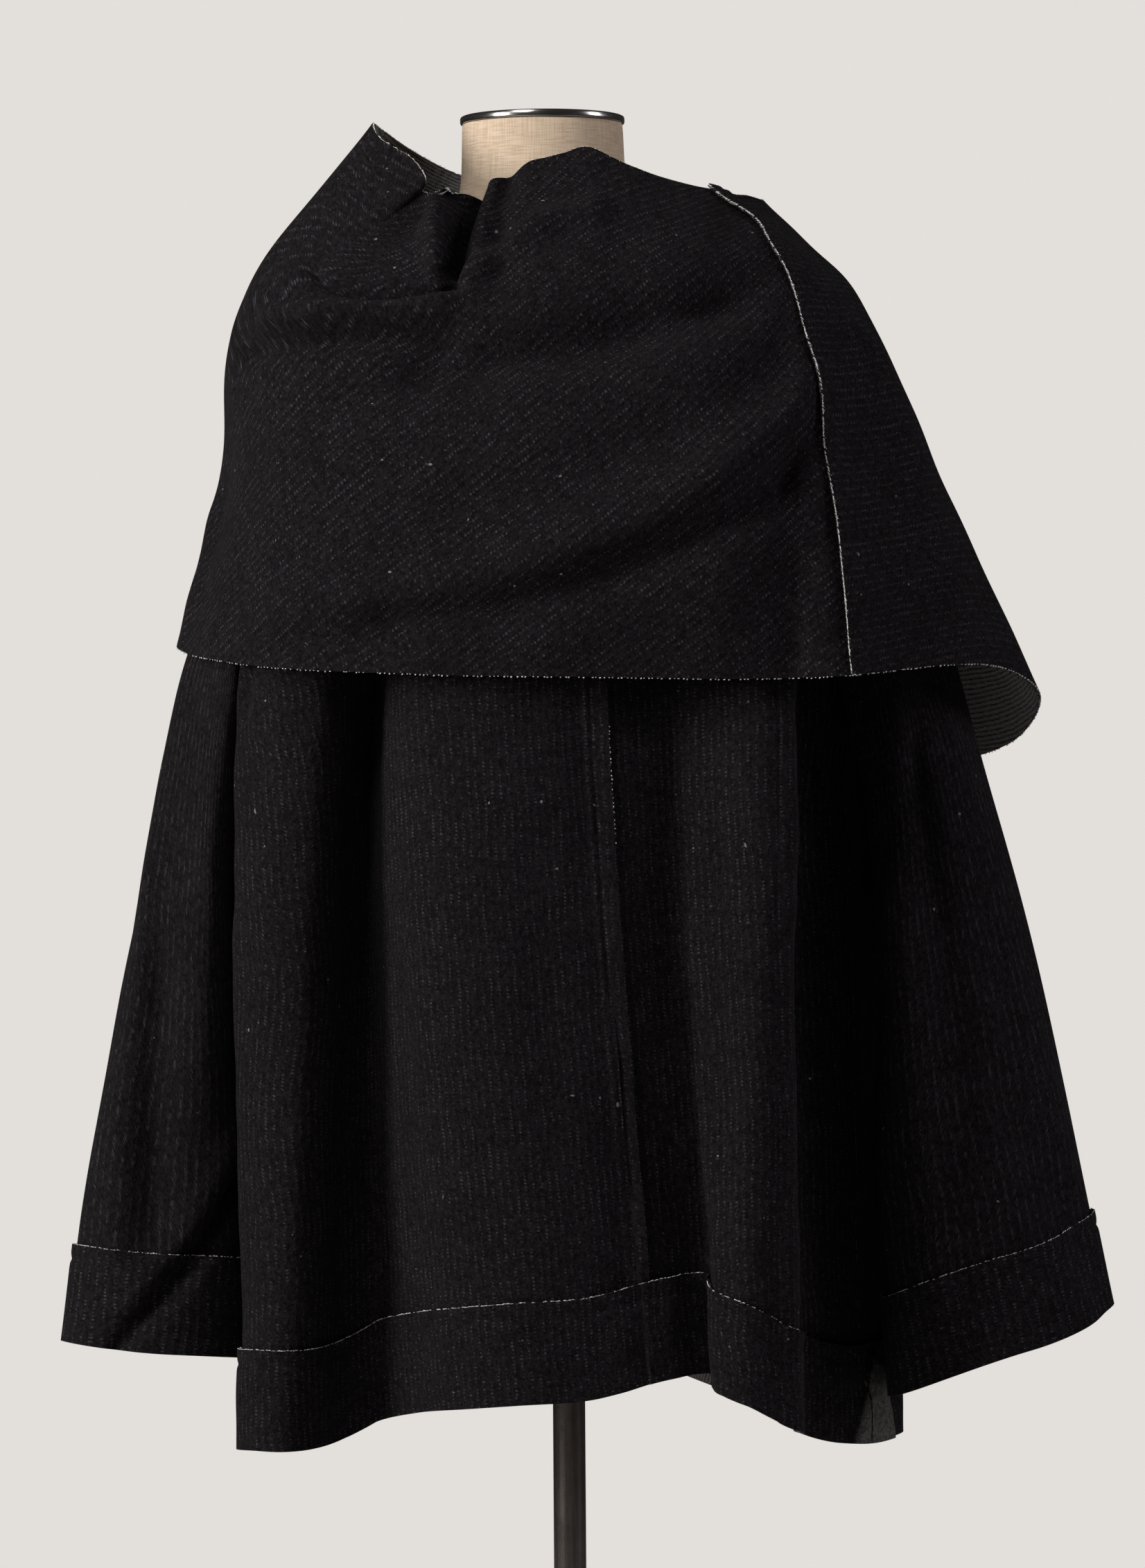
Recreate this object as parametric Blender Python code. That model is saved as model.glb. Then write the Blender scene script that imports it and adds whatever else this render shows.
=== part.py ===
# Poncho jacket of rib-knit wool with a draped collar cape, standing on a limbless dress form.
# Metres, +Z up. The origin is on the form's pole, on the underside of its base.
# The wearer faces -Y, so the back of the garment is at +Y and the wearer's left is at +X.
# The cloth is a wall: each sewn piece is a surface worked out from the tables below, given a
# thickness outwards. Where one piece lies on another it is the same surface, moved out.
import math

import bmesh
import bpy
import numpy as np

# ---------------------------------------------------------------- driving sizes, metres
CLOTH = 0.0025           # wall of the knitted wool
GAP = 0.0004             # air between pieces that touch
LAYER = CLOTH + GAP      # how far out a piece lies that rests on another
BAND_HEIGHT = 0.067      # hem band and cuff bands
BAND_LAP = 0.010         # how far a band reaches over its panel
BACK_LAP = 0.0085        # centre back: the left panel laps over the right one
COLLAR_LAP = 0.012       # back right: the right collar piece laps over the left one
LAP_RISE = 0.010         # length over which a lapping edge climbs onto the piece below
LAP_AIR = 0.0004         # a little more air under a lap
COLLAR_AIR = 0.0030      # and under the collar's lap, which crosses folds
BAND_AIR = 0.0006        # and under a band, which crosses seams
SEAM_INSET = 0.0003      # half the gap between two edges that meet

POLE_RADIUS = 0.011
BASE_RADIUS = 0.190
BASE_THICK = 0.008
BASE_EDGE = 0.003
FORM_BOTTOM = 0.860
NECK_TOP = 1.4942
NECK_LEAN = -0.042       # the neck's centre, forward of the pole
CAP_RADIUS = 0.0565
CAP_THICK = 0.0055
ARM_REACH = 200.0        # mm, arm used to turn a direction round the body into a distance

# ---------------------------------------------------------------- body, millimetres
# A row for each fold round the body, from the centre back to the wearer's left and on round
# the front. "upper" is its direction at the shoulders in degrees; then where it stands below
# the collar (height MID_Z) and at the hem, across to the wearer's left and back, and the
# height of the hem there.
MID_Z = 1108.0
BODY_FOLDS = (
    # upper, mid across, mid back, hem across, hem back, hem height
    (0, 20, 126, -12, 131.5, 643.5),          # centre back seam
    (10, 48.5, 125, 27, 136, 635),
    (22, 86.5, 118, 72.5, 129.5, 632.5),
    (34, 127, 94.5, 104.5, 97.5, 628),
    (44, 137, 66, 119.5, 51.5, 622),
    (52, 137.5, 25, 140.5, 21, 614),          # wall of the left back trough
    (59, 153.5, 36.5, 169, 23.5, 604),        # left back trough
    (66, 171.5, 54.5, 194, 42, 600.5),
    (73, 192, 60.5, 215, 49.5, 599.5),
    (80, 216, 46, 226.5, 38.5, 599.5),        # left back ridge
    (88, 229, 11, 229, 14, 598),
    (95, 207, -8, 213, -9, 597),
    (102, 198, -30, 200, -36, 597),
    (116, 186, -66, 194, -74, 599),
    (130, 170, -102, 186, -120, 603),         # front left side ridge
    (143, 132, -108, 136, -110, 618),
    (156, 92, -148, 100, -176, 630),          # front left ridge
    (168, 46, -136, 52, -142, 640),
    (180, 0, -150, 4, -165, 642),             # centre front
    (192, -44, -138, -46, -146, 641),
    (205, -90, -150, -96, -178, 632),         # front right ridge
    (218, -130, -108, -134, -110, 618),
    (231, -168, -105, -184, -122, 603),       # front right side ridge
    (242, -196, -84, -200, -84, 598),
    (251, -222, -64, -216, -60, 595),
    (258, -233, -43, -232, -38, 592),         # right side ridge
    (265, -225, -21, -238, -8, 591),
    (272, -205, 2, -221, 13, 589),
    (278, -190, 30, -196, 38, 588.5),         # right side seam
    (283, -171, 42, -168, 55.5, 592),
    (291, -139.5, 57, -132.5, 76, 602.5),     # right back trough
    (297, -116, 141, -112.5, 148.5, 609),
    (303, -101, 151.5, -93.5, 159.5, 618.5),
    (313, -84, 149, -74.5, 160, 629.5),       # right back ridge
    (322, -64, 133, -66, 150.5, 635.5),
    (330, -48, 123.5, -63.5, 140, 640),
    (337, -35.5, 120.5, -63, 129.5, 648),     # valley that the ridge folds over
    (344, -20.5, 121, -49, 128, 649),
    (352, -2, 123.5, -31.5, 129, 647),
)
# Plain rings above the folds: half width, reach to the back and to the front, height.
SHOULDER_RING = (174, 72, 90, 1366)
ARMHOLE_RING = (195, 112, 130, 1250)
BODY_DOWN = (0.0, 0.085, 0.215, 0.360, 0.860)   # m along the cloth: neckline to hem
BODY_ROWS = (0.0, 0.04, 0.085, 0.13, 0.18, 0.235, 0.29, 0.335, 0.40, 0.60)
BAND_ROWS = (BAND_HEIGHT, BAND_HEIGHT - BAND_LAP, BAND_HEIGHT / 2, 0.0)   # m over the hem
NECK_SEAM_DOWN = 0.0355  # m below the collar's top edge, where the body is sewn inside it
NECK_SEAM_GAP = 0.0008
PEAK_DIRECTION, PEAK_WIDTH = 76.0, 34.0         # where the collar stands up in a peak
LAP_WIDTH = 14.0         # degrees over which the neckline leaves room for the back lap
PEAK_AIR = 0.008         # the neckline keeps clear of the peak's tight curve

LEFT_SEAM, RIGHT_SEAM = 110.0, 278.0            # side seams, upper directions
ARMHOLE_TOP, ARMHOLE_FOOT = 0.090, 0.335        # m below the neckline
ARMHOLE_HALF = 12.5                             # degrees
SLEEVE_AIR = 0.0009
SLEEVE_SEAT = 1.5                               # degrees the sleeve reaches past the armhole

# ---------------------------------------------------------------- sleeves, millimetres
# The mouth of each cuff: its centre across and back, half sizes, then its height at the
# inner side, the back, the outer side and the front. Then how far the inner and the outer
# line bow away from the body at a quarter, a half and three quarters of their length.
SLEEVES = {
    "left": {"seam": LEFT_SEAM, "side": 1, "centre": (279, -36), "half": (60, 42),
             "heights": (655, 662, 669, 660), "inner_bow": (13, 11, 4),
             "outer_bow": (24, 27, 20)},
    "right": {"seam": RIGHT_SEAM, "side": -1, "centre": (-290, 65), "half": (76, 50),
              "heights": (623, 655, 681, 641), "inner_bow": (13, 5.5, -4),
              "outer_bow": (27, 25.5, 16.5)},
}

# ---------------------------------------------------------------- collar cape, millimetres
# A row for each station round the collar: its direction in degrees, then across, back and
# height at the top edge, on the shoulders, below them and at the bottom edge.
COLLAR = (
    # dir, top edge,         shoulder,          below,             bottom edge
    (0, -4, 51, 1468, 0, 125, 1367, 0, 164, 1228, -4, 151, 1111),
    (20, 16, 47, 1463, 48, 113, 1367, 58, 146, 1228, 59, 140, 1112),
    (40, 36, 41, 1459, 86, 97, 1368, 105, 122, 1229, 110.5, 122, 1113),
    (58, 62, 36, 1450, 122, 76, 1368, 148, 97, 1230, 154, 100.5, 1115),
    (72, 88, 33, 1434, 160, 54, 1366, 185, 70, 1231, 192, 77, 1117),
    (79, 107, 31.5, 1439.5, 181, 38, 1365, 201, 55, 1231.5, 213, 58, 1119),
    (84, 105.5, 36, 1448, 194, 20, 1364, 211, 40, 1232, 227, 40, 1121),
    (90, 109, 17, 1462, 203, 1, 1364.5, 218, 17, 1233, 238, 14, 1124),
    (96, 123, -5, 1476, 208, -20, 1365, 222, -7, 1234, 247, -12, 1127),
    (108, 123, -29, 1490, 211, -50, 1367, 220, -47, 1235, 249, -50, 1131),
    (125, 105, -62, 1488, 190, -95, 1365, 210, -105, 1232, 228, -114.5, 1138),
    (142, 78, -95, 1480, 140, -128, 1362, 158, -150, 1222, 172, -165, 1100),
    (160, 40, -122, 1468, 70, -146, 1358, 80, -172, 1212, 88, -190, 1075),
    (180, -5, -130, 1458, -5, -150, 1355, -5, -178, 1205, -5, -198, 1060),
    (200, -50, -122, 1450, -75, -142, 1356, -88, -172, 1205, -100, -192, 1052),
    (220, -90, -98, 1444, -130, -120, 1360, -165, -146, 1210, -190, -168, 1050),
    (240, -118, -60, 1440, -172, -85, 1364, -222, -100, 1215, -262, -118, 1052),
    (257, -130, -15, 1438, -195, -35, 1366, -250, -40, 1222, -305, -60, 1056),
    (270, -133, 15, 1437, -200, 5, 1366, -264, 5, 1230, -325, -10, 1066),
    (280, -131, 35, 1437, -195, 35, 1366, -260, 45, 1232, -324, 45, 1085),
    (288, -127, 46, 1436, -192, 62, 1367, -248, 80, 1233, -308, 92, 1102),
    (295, -114, 54, 1438, -175, 84, 1368, -232, 106, 1232, -275, 120, 1115),
    (302, -104, 60, 1438, -156, 102, 1370, -192, 136, 1230, -220, 146, 1118),
    (309, -93, 64, 1439, -132, 116, 1372, -143, 162, 1229, -152, 178, 1112),
    (325, -62, 66, 1445, -92, 131, 1368, -100, 171, 1228, -103.5, 167.5, 1110),
    (342, -32, 60, 1455, -45, 136, 1367, -48, 176, 1228, -55, 162, 1110),
)
COLLAR_DOWN = (0.0, 0.125, 0.270, 0.390)        # m along the cloth, top edge to bottom edge
COLLAR_SEAM, COLLAR_FRONT_SEAM = 309.0, 125.0   # directions of its two seams
SEAM_CALM = 8.0          # degrees beside the lapped seam where the folds fade
# The large folds of the collar: start and end as direction and distance down in mm, how far
# the line between them bows, the fold's half width and its height (a trough is negative).
COLLAR_FOLDS = (
    # from dir, from down, to dir, to down, bow, half width, height
    (58, 10, 49, 98, 0, 20, -24),        # deep pocket beside the neck
    (77, 0, 63, 104, 0, 13, 8),          # edge of the standing funnel
    (80, 130, 40, 104, 8, 16, 8),        # roll below the pocket
    (88, 152, 36, 153, 0, 14, -6),       # valley below the roll
    (49, 182, -34, 114, 0, 28, -9),      # soft valley across the back
    (-47, 170, 78, 330, 40, 30, 14),     # large diagonal drape
    (-50, 216, 62, 350, 32, 24, -12),    # trough under the drape
    (-38, 255, -36, 390, 0, 20, -7),
    (-59, 190, -56, 385, 0, 16, 7),      # ridge right of the lapped seam
    (266, 150, 206, 330, -20, 26, 12),   # drape across the front
    (262, 205, 204, 372, -20, 20, -10),
    (200, 112, 152, 190, 0, 28, -8),
    (118, 160, 113, 385, 0, 18, 7),
)

# ---------------------------------------------------------------- dress form, millimetres
# A row for each section: height, half width, reach to the front and to the back.
FORM_SECTIONS = (
    (860, 133, 103, 99),
    (950, 128, 100, 95),
    (1040, 115, 95, 86),     # waist
    (1130, 132, 104, 88),
    (1220, 150, 120, 92),    # bust
    (1300, 158, 98, 84),
    (1340, 175.8, 82, 66),
    (1360, 171.8, 72, 54),     # shoulders
    (1378, 151.8, 68, 44),
    (1396, 105, 70, 34),
    (1418, 74, 82, 22),
    (1445, 59, 93, 16),
    (1494.2, 55, 97, 13),    # neck
)


# ---------------------------------------------------------------- curves and surfaces
def slopes(knots, rows):
    """Slope at each row from its two neighbours, so that long runs stay nearly straight."""
    shape = (-1,) + (1,) * (rows.ndim - 1)
    lean = np.empty_like(rows)
    lean[1:-1] = (rows[2:] - rows[:-2]) / (knots[2:] - knots[:-2]).reshape(shape)
    lean[0] = (rows[1] - rows[0]) / (knots[1] - knots[0])
    lean[-1] = (rows[-1] - rows[-2]) / (knots[-1] - knots[-2])
    return lean


def curve(knots, rows, at, period=None):
    """Smooth curve through the rows, read at the values of at; it closes if period is given."""
    knots = np.asarray(knots, float)
    rows = np.asarray(rows, float)
    at = np.asarray(at, float)
    if period:
        knots = np.concatenate(([knots[-1] - period], knots, knots[:2] + period))
        rows = np.concatenate((rows[-1:], rows, rows[:2]))
        at = knots[1] + np.mod(at - knots[1], period)
    span = np.diff(knots)
    lean = slopes(knots, rows)
    first = np.clip(np.searchsorted(knots, at, side="right") - 1, 0, len(span) - 1)
    width = span[first]
    f = ((at - knots[first]) / width)[..., None]
    width = width[..., None]
    start, end = rows[first], rows[first + 1]
    return ((2 * f**3 - 3 * f**2 + 1) * start + (f**3 - 2 * f**2 + f) * width * lean[first]
            + (3 * f**2 - 2 * f**3) * end + (f**3 - f**2) * width * lean[first + 1])


def across_levels(levels, downs, down):
    """Blend rings of points, one for each distance down, with a smooth curve down the cloth."""
    down = np.asarray(down, float)
    downs = np.asarray(downs, float)
    levels = np.stack(levels)
    lean = slopes(downs, levels)
    first = np.clip(np.searchsorted(downs, down, side="right") - 1, 0, len(downs) - 2)
    pick = (first,) + tuple(np.indices(down.shape))
    after = (first + 1,) + tuple(np.indices(down.shape))
    width = (downs[first + 1] - downs[first])[..., None]
    f = (down - downs[first])[..., None] / width
    return ((2 * f**3 - 3 * f**2 + 1) * levels[pick] + (f**3 - 2 * f**2 + f) * width * lean[pick]
            + (3 * f**2 - 2 * f**3) * levels[after] + (f**3 - f**2) * width * lean[after])


def smooth_step(value):
    value = np.clip(value, 0.0, 1.0)
    return value * value * (3 - 2 * value)


def outward(surface, u, v, step_u, step_v):
    """Unit normal of a surface, on the side that faces away from the wearer."""
    along = surface(u + step_u, v) - surface(u - step_u, v)
    down = surface(u, v + step_v) - surface(u, v - step_v)
    normal = np.cross(along, down)
    return normal / np.linalg.norm(normal, axis=-1, keepdims=True)


def collar_base(direction, down):
    """The collar before its folds are put in, in metres."""
    rows = np.array(COLLAR, float)
    levels = [curve(rows[:, 0], rows[:, 1 + 3 * k:4 + 3 * k], direction, 360.0) for k in range(4)]
    return across_levels(levels, COLLAR_DOWN, down) / 1000


def fold_height(folds, direction, down):
    """Height of the folds at a place on a ring of cloth, in metres."""
    height = np.zeros(np.broadcast(direction, down).shape)
    for from_dir, from_down, to_dir, to_down, bow, half_width, rise in folds:
        x = (np.mod(direction - from_dir + 180.0, 360.0) - 180.0) * math.pi / 180 * ARM_REACH
        y = down * 1000 - from_down
        run = (to_dir - from_dir) * math.pi / 180 * ARM_REACH
        drop = to_down - from_down
        length = math.hypot(run, drop)
        along = (x * run + y * drop) / length**2
        aside = (y * run - x * drop) / length
        inside = np.clip(along, 0.0, 1.0)
        aside = aside - bow * 4 * inside * (1 - inside)
        beyond = (along - inside) * length
        spread = (aside / half_width)**2 + (beyond / (1.3 * half_width))**2
        height = height + rise * np.exp(-spread)
    return height / 1000


def collar_surface(direction, down):
    """The collar's inner face, in metres. Its lapped seam holds the cloth straight."""
    normal = outward(collar_base, direction, down, 1.0, 0.004)
    from_seam = np.mod(direction - COLLAR_SEAM + 180.0, 360.0) - 180.0
    calm = 1 - np.exp(-(from_seam / SEAM_CALM)**2)
    height = calm * fold_height(COLLAR_FOLDS, direction, down)
    return collar_base(direction, down) + normal * height[..., None]


def ring(spec, direction):
    """Plain ring: half width, reach back and front, and height in millimetres."""
    half_width, back, front, height = spec
    turn = np.radians(direction)
    reach = np.where(np.cos(turn) > 0, back, front)
    radius = 1 / np.sqrt((np.sin(turn) / half_width)**2 + (np.cos(turn) / reach)**2)
    return np.stack((radius * np.sin(turn), radius * np.cos(turn),
                     np.full_like(radius, height)), -1)


def body_surface(direction, down):
    """The body's inner face, in metres: direction at the shoulders, distance down."""
    direction, down = np.broadcast_arrays(np.asarray(direction, float), np.asarray(down, float))
    rows = np.array(BODY_FOLDS, float)
    seam_down = np.full(direction.shape, NECK_SEAM_DOWN)
    inwards = -outward(collar_surface, direction, seam_down, 1.0, 0.004)
    beside_peak = np.exp(-((direction - PEAK_DIRECTION) / PEAK_WIDTH)**2)
    from_back = np.mod(direction + 180.0, 360.0) - 180.0
    beside_lap = np.exp(-(from_back / LAP_WIDTH)**2)
    inset = CLOTH + NECK_SEAM_GAP + PEAK_AIR * beside_peak + LAYER * beside_lap
    neckline = collar_surface(direction, seam_down) + inwards * inset[..., None]
    middle = np.column_stack((rows[:, 1], rows[:, 2], np.full(len(rows), MID_Z)))
    levels = [neckline * 1000, ring(SHOULDER_RING, direction), ring(ARMHOLE_RING, direction),
              curve(rows[:, 0], middle, direction, 360.0),
              curve(rows[:, 0], rows[:, 3:6], direction, 360.0)]
    return across_levels(levels, BODY_DOWN, down) / 1000


def armhole_half(down):
    """Half width of the armhole in degrees at a distance down from the neckline."""
    part = (down - ARMHOLE_TOP) / (ARMHOLE_FOOT - ARMHOLE_TOP)
    return ARMHOLE_HALF * np.sin(math.pi * np.clip(part, 0.0, 1.0))**0.7


def sleeve_surface(name):
    """The inner face of one sleeve: turn 0 is its inner side, 0.25 its back, 0.5 its outer
    side and 0.75 its front; down runs from 0 at the armhole to 1 at the cuff's mouth."""
    spec = SLEEVES[name]
    side = spec["side"]

    def surface(turn, down):
        turn, down = np.broadcast_arrays(np.asarray(turn, float), np.asarray(down, float))
        angle = 2 * math.pi * turn
        rise = (1 - np.cos(angle)) / 2
        # The sleeve is sewn on the outside of the panels, just past the edge of the armhole.
        reach = ARMHOLE_HALF * np.abs(np.sin(math.pi * rise))**0.7 + SLEEVE_SEAT
        back = -side * np.sign(np.sin(angle)) * reach * smooth_step(np.abs(np.sin(angle)) * 3)
        height = ARMHOLE_FOOT + 0.004 - (ARMHOLE_FOOT - ARMHOLE_TOP + 0.008) * rise
        start = body_surface(spec["seam"] + back, height)
        normal = outward(body_surface, spec["seam"] + back, height, 1.0, 0.004)
        seat = LAYER + SLEEVE_AIR + 1.3 * CLOTH * (1 - rise)
        start = start + normal * seat[..., None]
        across, depth = spec["centre"]
        heights = np.array(spec["heights"] + spec["heights"][:1], float)
        level = curve((0, 0.25, 0.5, 0.75), heights[:4, None], turn, 1.0)[..., 0]
        end = np.stack((across - side * spec["half"][0] * np.cos(angle),
                        depth + spec["half"][1] * np.sin(angle), level), -1) / 1000
        bows = [(0, 0), *zip(spec["inner_bow"], spec["outer_bow"]), (0, 0)]
        bow = curve((0, 0.25, 0.5, 0.75, 1), bows, down)
        point = start + (end - start) * down[..., None]
        point[..., 0] += side / 1000 * (bow[..., 0] * (1 - rise) + bow[..., 1] * rise)
        return point
    return surface


# ---------------------------------------------------------------- solids
def material(name, colour, roughness, metallic=0.0):
    made = bpy.data.materials.new(name)
    made.use_nodes = True
    shader = made.node_tree.nodes["Principled BSDF"]
    shader.inputs["Base Color"].default_value = (*colour, 1.0)
    shader.inputs["Roughness"].default_value = roughness
    shader.inputs["Metallic"].default_value = metallic
    made.diffuse_color = (*colour, 1.0)
    return made


def finish(name, mesh, finish_material):
    mesh.materials.append(finish_material)
    mesh.shade_smooth()
    mesh.set_sharp_from_angle(angle=math.radians(40))
    made = bpy.data.objects.new(name, mesh)
    bpy.context.collection.objects.link(made)
    return made


def cloth_piece(name, columns, rows, faces, cloth, tube=False):
    """Wall of cloth from a grid: faces(a, d) gives its inner and its outer points, where a
    runs across the piece and d down it, both from 0 to 1."""
    shape = bmesh.new()
    place = shape.verts.layers.int.new("place")
    bmesh.ops.create_grid(shape, x_segments=columns, y_segments=rows, size=1.0)
    for vert in shape.verts:
        column = round((vert.co.x + 1) / 2 * columns)
        row = round((1 - vert.co.y) / 2 * rows)
        vert[place] = row * (columns + 1) + column
    a, d = np.meshgrid(np.linspace(0, 1, columns + 1), np.linspace(0, 1, rows + 1))
    inner, outer = (points.reshape(-1, 3) for points in faces(a, d))
    for vert in shape.verts:
        vert.co = inner[vert[place]]
    if tube:
        bmesh.ops.remove_doubles(shape, verts=shape.verts, dist=1e-6)
    made = bmesh.ops.extrude_face_region(shape, geom=shape.faces[:], use_keep_orig=True)
    for item in made["geom"]:
        if isinstance(item, bmesh.types.BMVert):
            item.co = outer[item[place]]
    bmesh.ops.triangulate(shape, faces=shape.faces[:])
    bmesh.ops.recalc_face_normals(shape, faces=shape.faces[:])
    mesh = bpy.data.meshes.new(name)
    shape.to_mesh(mesh)
    shape.free()
    return finish(name, mesh, cloth)


def wall(surface, u, v, lift, step_u, step_v):
    """Inner and outer points of a wall that lies lift metres outside a surface."""
    point = surface(u, v)
    normal = outward(surface, u, v, step_u, step_v)
    lift = np.asarray(lift, float)[..., None] * np.ones_like(normal)
    return point + normal * lift, point + normal * (lift + CLOTH)


def turned(name, profile, look, centre=(0.0, 0.0), segments=48):
    """Round piece turned from a profile of radius and height, closed at both ends."""
    shape = bmesh.new()
    points = [shape.verts.new((0.0, 0.0, profile[0][1]))]
    points += [shape.verts.new((radius, 0.0, height)) for radius, height in profile]
    points.append(shape.verts.new((0.0, 0.0, profile[-1][1])))
    edges = [shape.edges.new(pair) for pair in zip(points, points[1:])]
    bmesh.ops.spin(shape, geom=points + edges, cent=(0, 0, 0), axis=(0, 0, 1),
                   angle=2 * math.pi, steps=segments, use_merge=True)
    bmesh.ops.remove_doubles(shape, verts=shape.verts, dist=1e-6)
    bmesh.ops.recalc_face_normals(shape, faces=shape.faces[:])
    bmesh.ops.translate(shape, verts=shape.verts, vec=(*centre, 0.0))
    mesh = bpy.data.meshes.new(name)
    shape.to_mesh(mesh)
    shape.free()
    return finish(name, mesh, look)


# ---------------------------------------------------------------- the garment's pieces
def body_length(direction):
    """Length of the cloth from the mid ring to the hem, for bands of even height."""
    top = body_surface(direction, np.full(np.shape(direction), BODY_DOWN[3]))
    foot = body_surface(direction, np.full(np.shape(direction), BODY_DOWN[4]))
    return np.linalg.norm(foot - top, axis=-1)


def hem_down(direction, above):
    """Distance down to the line that lies above metres over the hem."""
    run = BODY_DOWN[4] - BODY_DOWN[3]
    return BODY_DOWN[4] - above * run / body_length(direction)


def degrees_for(width, direction, down, surface):
    """Degrees round a ring of cloth that make a width in metres there."""
    a, b = surface(direction - 0.5, down), surface(direction + 0.5, down)
    return width / np.linalg.norm(b - a, axis=-1)


def lapped_columns(a, columns, first, last, per_metre, lap):
    """Directions of a piece's columns, with fine ones where its edge climbs onto the next."""
    stops = [0.0, lap / 2] if lap else []
    stops = np.array(stops + [lap, lap + LAP_RISE / 2, lap + LAP_RISE])
    column = np.rint(a * columns).astype(int)
    fine = first + stops[np.minimum(column, len(stops) - 1)] * per_metre
    rest = np.clip((column - len(stops) + 1) / (columns - len(stops) + 1), 0.0, 1.0)
    return fine + (last - first - stops[-1] * per_metre) * rest


def lap_lift(direction, seam, per_metre, air):
    """How far a lapping edge is moved out, at a direction near its seam."""
    inside = (seam - direction) / per_metre
    return (LAYER + air) * smooth_step(1 + inside / LAP_RISE)


def panel(name, start, end, columns, cloth, armhole_start=False, armhole_end=False, lap=0.0):
    """One body panel between two seams, given by direction; an armhole hollows an edge."""
    def faces(a, d):
        guess = start + (end - start) * a
        foot = hem_down(guess, BAND_HEIGHT - BAND_LAP)
        row = np.rint(d * (len(BODY_ROWS) + 1)).astype(int)
        down = np.array(BODY_ROWS + (0.0, 0.0))[row]
        down = np.where(row == len(BODY_ROWS), hem_down(guess, BAND_HEIGHT), down)
        down = np.where(row > len(BODY_ROWS), foot, down)
        per_metre = degrees_for(1.0, np.full_like(down, start), down, body_surface)
        first = start + SEAM_INSET * per_metre - lap * per_metre
        last = end - SEAM_INSET * degrees_for(1.0, np.full_like(down, end), down, body_surface)
        if armhole_start:
            first = first + armhole_half(down)
        if armhole_end:
            last = last - armhole_half(down)
        if not lap:
            direction = first + (last - first) * a
            return wall(body_surface, direction, down, np.zeros_like(down), 0.3, 0.002)
        direction = lapped_columns(a, columns, first, last, per_metre, lap)
        lift = lap_lift(direction, start, per_metre, LAP_AIR)
        return wall(body_surface, direction, down, lift, 0.3, 0.002)
    return cloth_piece(name, columns, len(BODY_ROWS) + 1, faces, cloth)


def hem_band(name, start, end, columns, cloth, fine_start=False):
    """One length of the hem band; it steps out over the lap at the centre back."""
    def faces(a, d):
        direction = start + (end - start) * a
        foot = hem_down(direction, 0.0)
        first = start + SEAM_INSET * degrees_for(1.0, np.full_like(foot, start), foot,
                                                 body_surface)
        last = end - SEAM_INSET * degrees_for(1.0, np.full_like(foot, end), foot, body_surface)
        direction = first + (last - first) * a
        if fine_start:
            per_metre = degrees_for(1.0, first, foot, body_surface)
            direction = lapped_columns(a, columns, first, last, per_metre, 0.0)
        above = np.array(BAND_ROWS)[np.rint(d * (len(BAND_ROWS) - 1)).astype(int)]
        down = hem_down(direction, above)
        per_metre = degrees_for(1.0, direction, down, body_surface)
        from_back = np.minimum(direction, 360.0 - direction) / per_metre
        lift = BAND_AIR + LAYER * (1 + smooth_step(1.8 - from_back / (BACK_LAP + LAP_RISE)))
        return wall(body_surface, direction, down, lift, 0.3, 0.002)
    return cloth_piece(name, columns, len(BAND_ROWS) - 1, faces, cloth)


def sleeve_down(surface, turn, above):
    length = np.linalg.norm(surface(turn, np.ones_like(turn))
                            - surface(turn, np.zeros_like(turn)), axis=-1)
    return 1 - above / length


def sleeve(name, side, columns, rows, cloth):
    surface = sleeve_surface(side)

    def faces(a, d):
        row = d * rows
        cuff_top = sleeve_down(surface, a, BAND_HEIGHT)
        foot = sleeve_down(surface, a, BAND_HEIGHT - BAND_LAP)
        down = np.where(row > rows - 0.5, foot, cuff_top * row / (rows - 1))
        return sleeve_wall(surface, a, down, 0.0)
    return cloth_piece(name, columns, rows, faces, cloth, tube=True)


def cuff(name, side, columns, cloth):
    surface = sleeve_surface(side)

    def faces(a, d):
        down = sleeve_down(surface, a, BAND_HEIGHT * (1 - d))
        return sleeve_wall(surface, a, down, LAYER + LAP_AIR)
    return cloth_piece(name, columns, 2, faces, cloth, tube=True)


def sleeve_wall(surface, turn, down, lift):
    point = surface(turn, down)
    normal = outward(surface, turn, down, 0.004, 0.01)
    away = point - point.mean(axis=1, keepdims=True)
    normal = normal * np.sign(np.sum(normal * away, axis=-1, keepdims=True).mean())
    return point + normal * lift, point + normal * (lift + CLOTH)


def collar_piece(name, start, end, columns, rows, cloth, lap=0.0):
    def faces(a, d):
        down = COLLAR_DOWN[3] * d
        per_metre = degrees_for(1.0, np.full_like(down, start), down, collar_surface)
        end_metre = degrees_for(1.0, np.full_like(down, end), down, collar_surface)
        if not lap:
            first, last = start + SEAM_INSET * per_metre, end - SEAM_INSET * end_metre
            direction = first + (last - first) * a
            return wall(collar_surface, direction, down, np.zeros_like(down), 0.3, 0.002)
        # This piece laps over its neighbour at the far end, so it is laid out backwards.
        first, last = end - SEAM_INSET * end_metre + lap * end_metre, start + SEAM_INSET * per_metre
        direction = lapped_columns(1 - a, columns, first, last, -end_metre, lap)
        lift = lap_lift(direction, end, -end_metre, COLLAR_AIR)
        return wall(collar_surface, direction, down, lift, 0.3, 0.002)
    return cloth_piece(name, columns, rows, faces, cloth)


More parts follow.
